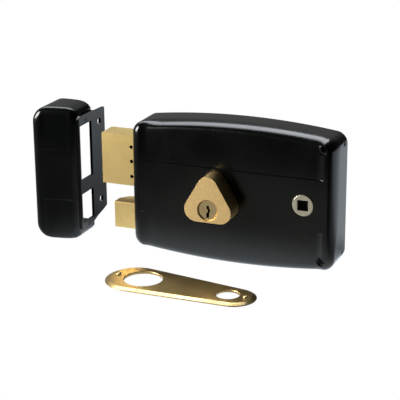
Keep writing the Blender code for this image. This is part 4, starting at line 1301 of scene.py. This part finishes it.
# %% Table
def seen_white(tree, felt_shader, sink_socket, strength=1.0):
    """White to the eye, and whatever is felt by the reflections and the light."""
    shown = add(tree, "ShaderNodeEmission")
    shown.inputs["Strength"].default_value = strength
    path = add(tree, "ShaderNodeLightPath")
    mix = add(tree, "ShaderNodeMixShader")
    wire(tree, path.outputs["Is Camera Ray"], mix.inputs[0])
    wire(tree, felt_shader, mix.inputs[1])
    wire(tree, shown.outputs[0], mix.inputs[2])
    wire(tree, mix.outputs[0], sink_socket)


def make_table():
    """Pale all over; the light falls off towards the front and the left."""
    material = bpy.data.materials.new("white_table")
    material.use_nodes = True
    tree = material.node_tree
    tree.nodes.clear()
    sink = add(tree, "ShaderNodeOutputMaterial")
    place = add(tree, "ShaderNodeTexCoord").outputs["Object"]
    split = add(tree, "ShaderNodeSeparateXYZ")
    wire(tree, place, split.inputs[0])
    far_front = span(tree, split.outputs["Y"], -0.25, -0.19, 0.05, 0.26)
    near_front = span(tree, split.outputs["Y"], -0.10, -0.03, 0.0, 1.0)
    glow = math_node(tree, "MULTIPLY", math_node(tree, "MULTIPLY", near_front, near_front), 1.3)
    front = math_node(tree, "ADD", far_front, glow)
    by_left = math_node(tree, "MULTIPLY", front, span(tree, split.outputs["X"], -0.14, -0.085, 0.25, 1.0))
    front_side = math_node(tree, "MULTIPLY", by_left, span(tree, split.outputs["X"], 0.07, 0.12, 1.0, 0.2))
    behind = math_node(tree, "MULTIPLY", span(tree, split.outputs["Y"], 0.0, 0.06, 0.0, 1.0),
                       span(tree, split.outputs["X"], -0.06, 0.08, 0.35, 0.9))
    in_front = span(tree, split.outputs["Y"], 0.0, 0.03, 1.0, 0.0)
    total = math_node(tree, "ADD", math_node(tree, "MULTIPLY", front_side, in_front), behind)
    felt = add(tree, "ShaderNodeEmission")
    wire(tree, blend_color(tree, near_front, (1.0, 1.0, 0.94), (0.84, 0.92, 1.0)), felt.inputs["Color"])
    wire(tree, total, felt.inputs["Strength"])
    seen_white(tree, felt.outputs[0], sink.inputs["Surface"])
    return material


TABLE_FRONT, TABLE_BACK, TABLE_SIDE = -0.25, 1.6, 1.4
table_z = cad_low[2] - 0.0004
table_mesh = bpy.data.meshes.new("table")
table_mesh.from_pydata([(-TABLE_SIDE, TABLE_FRONT, table_z), (TABLE_SIDE, TABLE_FRONT, table_z),
                        (TABLE_SIDE, TABLE_BACK, table_z), (-TABLE_SIDE, TABLE_BACK, table_z)],
                       [], [(0, 1, 2, 3)])
table_mesh.materials.append(make_table())
table = bpy.data.objects.new("table", table_mesh)
bpy.context.scene.collection.objects.link(table)
print("table at", round(table_z, 4))

# %% Lights
def softbox(name, place, aim, width, height, power, color=(1.0, 1.0, 1.0)):
    data = bpy.data.lights.new(name, "AREA")
    data.shape, data.size, data.size_y = "RECTANGLE", width, height
    data.energy, data.color = power, color
    lamp = bpy.data.objects.new(name, data)
    bpy.context.scene.collection.objects.link(lamp)
    away = Vector(place) - Vector(aim)
    lamp.matrix_world = Matrix.Translation(Vector(place)) @ away.to_track_quat("Z", "Y").to_matrix().to_4x4()
    return lamp


softbox("overhead", (-0.27, 0.31, 0.71), (-0.01, -0.02, 0.04), 0.8, 0.36, 5.5, (0.90, 0.95, 1.0))
softbox("key", (-0.88, -0.66, 0.30), (-0.02, 0.0, 0.0), 0.6, 0.6, 24.0, (1.0, 0.98, 0.95))

# %% Room and tone
def build_room():
    """Dim in front, brighter behind, so the black front stays black."""
    world = bpy.data.worlds.new("white_room")
    world.use_nodes = True
    tree = world.node_tree
    tree.nodes.clear()
    sink = add(tree, "ShaderNodeOutputWorld")
    felt = add(tree, "ShaderNodeBackground")
    place = add(tree, "ShaderNodeTexCoord").outputs["Generated"]
    split = add(tree, "ShaderNodeSeparateXYZ")
    wire(tree, place, split.inputs[0])
    behind = span(tree, split.outputs["Y"], -0.2, 0.8, 0.03, 0.28)
    leftward = span(tree, split.outputs["X"], 0.0, 0.35, 1.0, 0.15)
    wire(tree, math_node(tree, "MULTIPLY", behind, leftward), felt.inputs["Strength"])
    seen_white(tree, felt.outputs[0], sink.inputs["Surface"])
    return world


bpy.context.scene.world = build_room()
bpy.context.scene.view_settings.view_transform = "Standard"
print("room", bpy.context.scene.world.name)
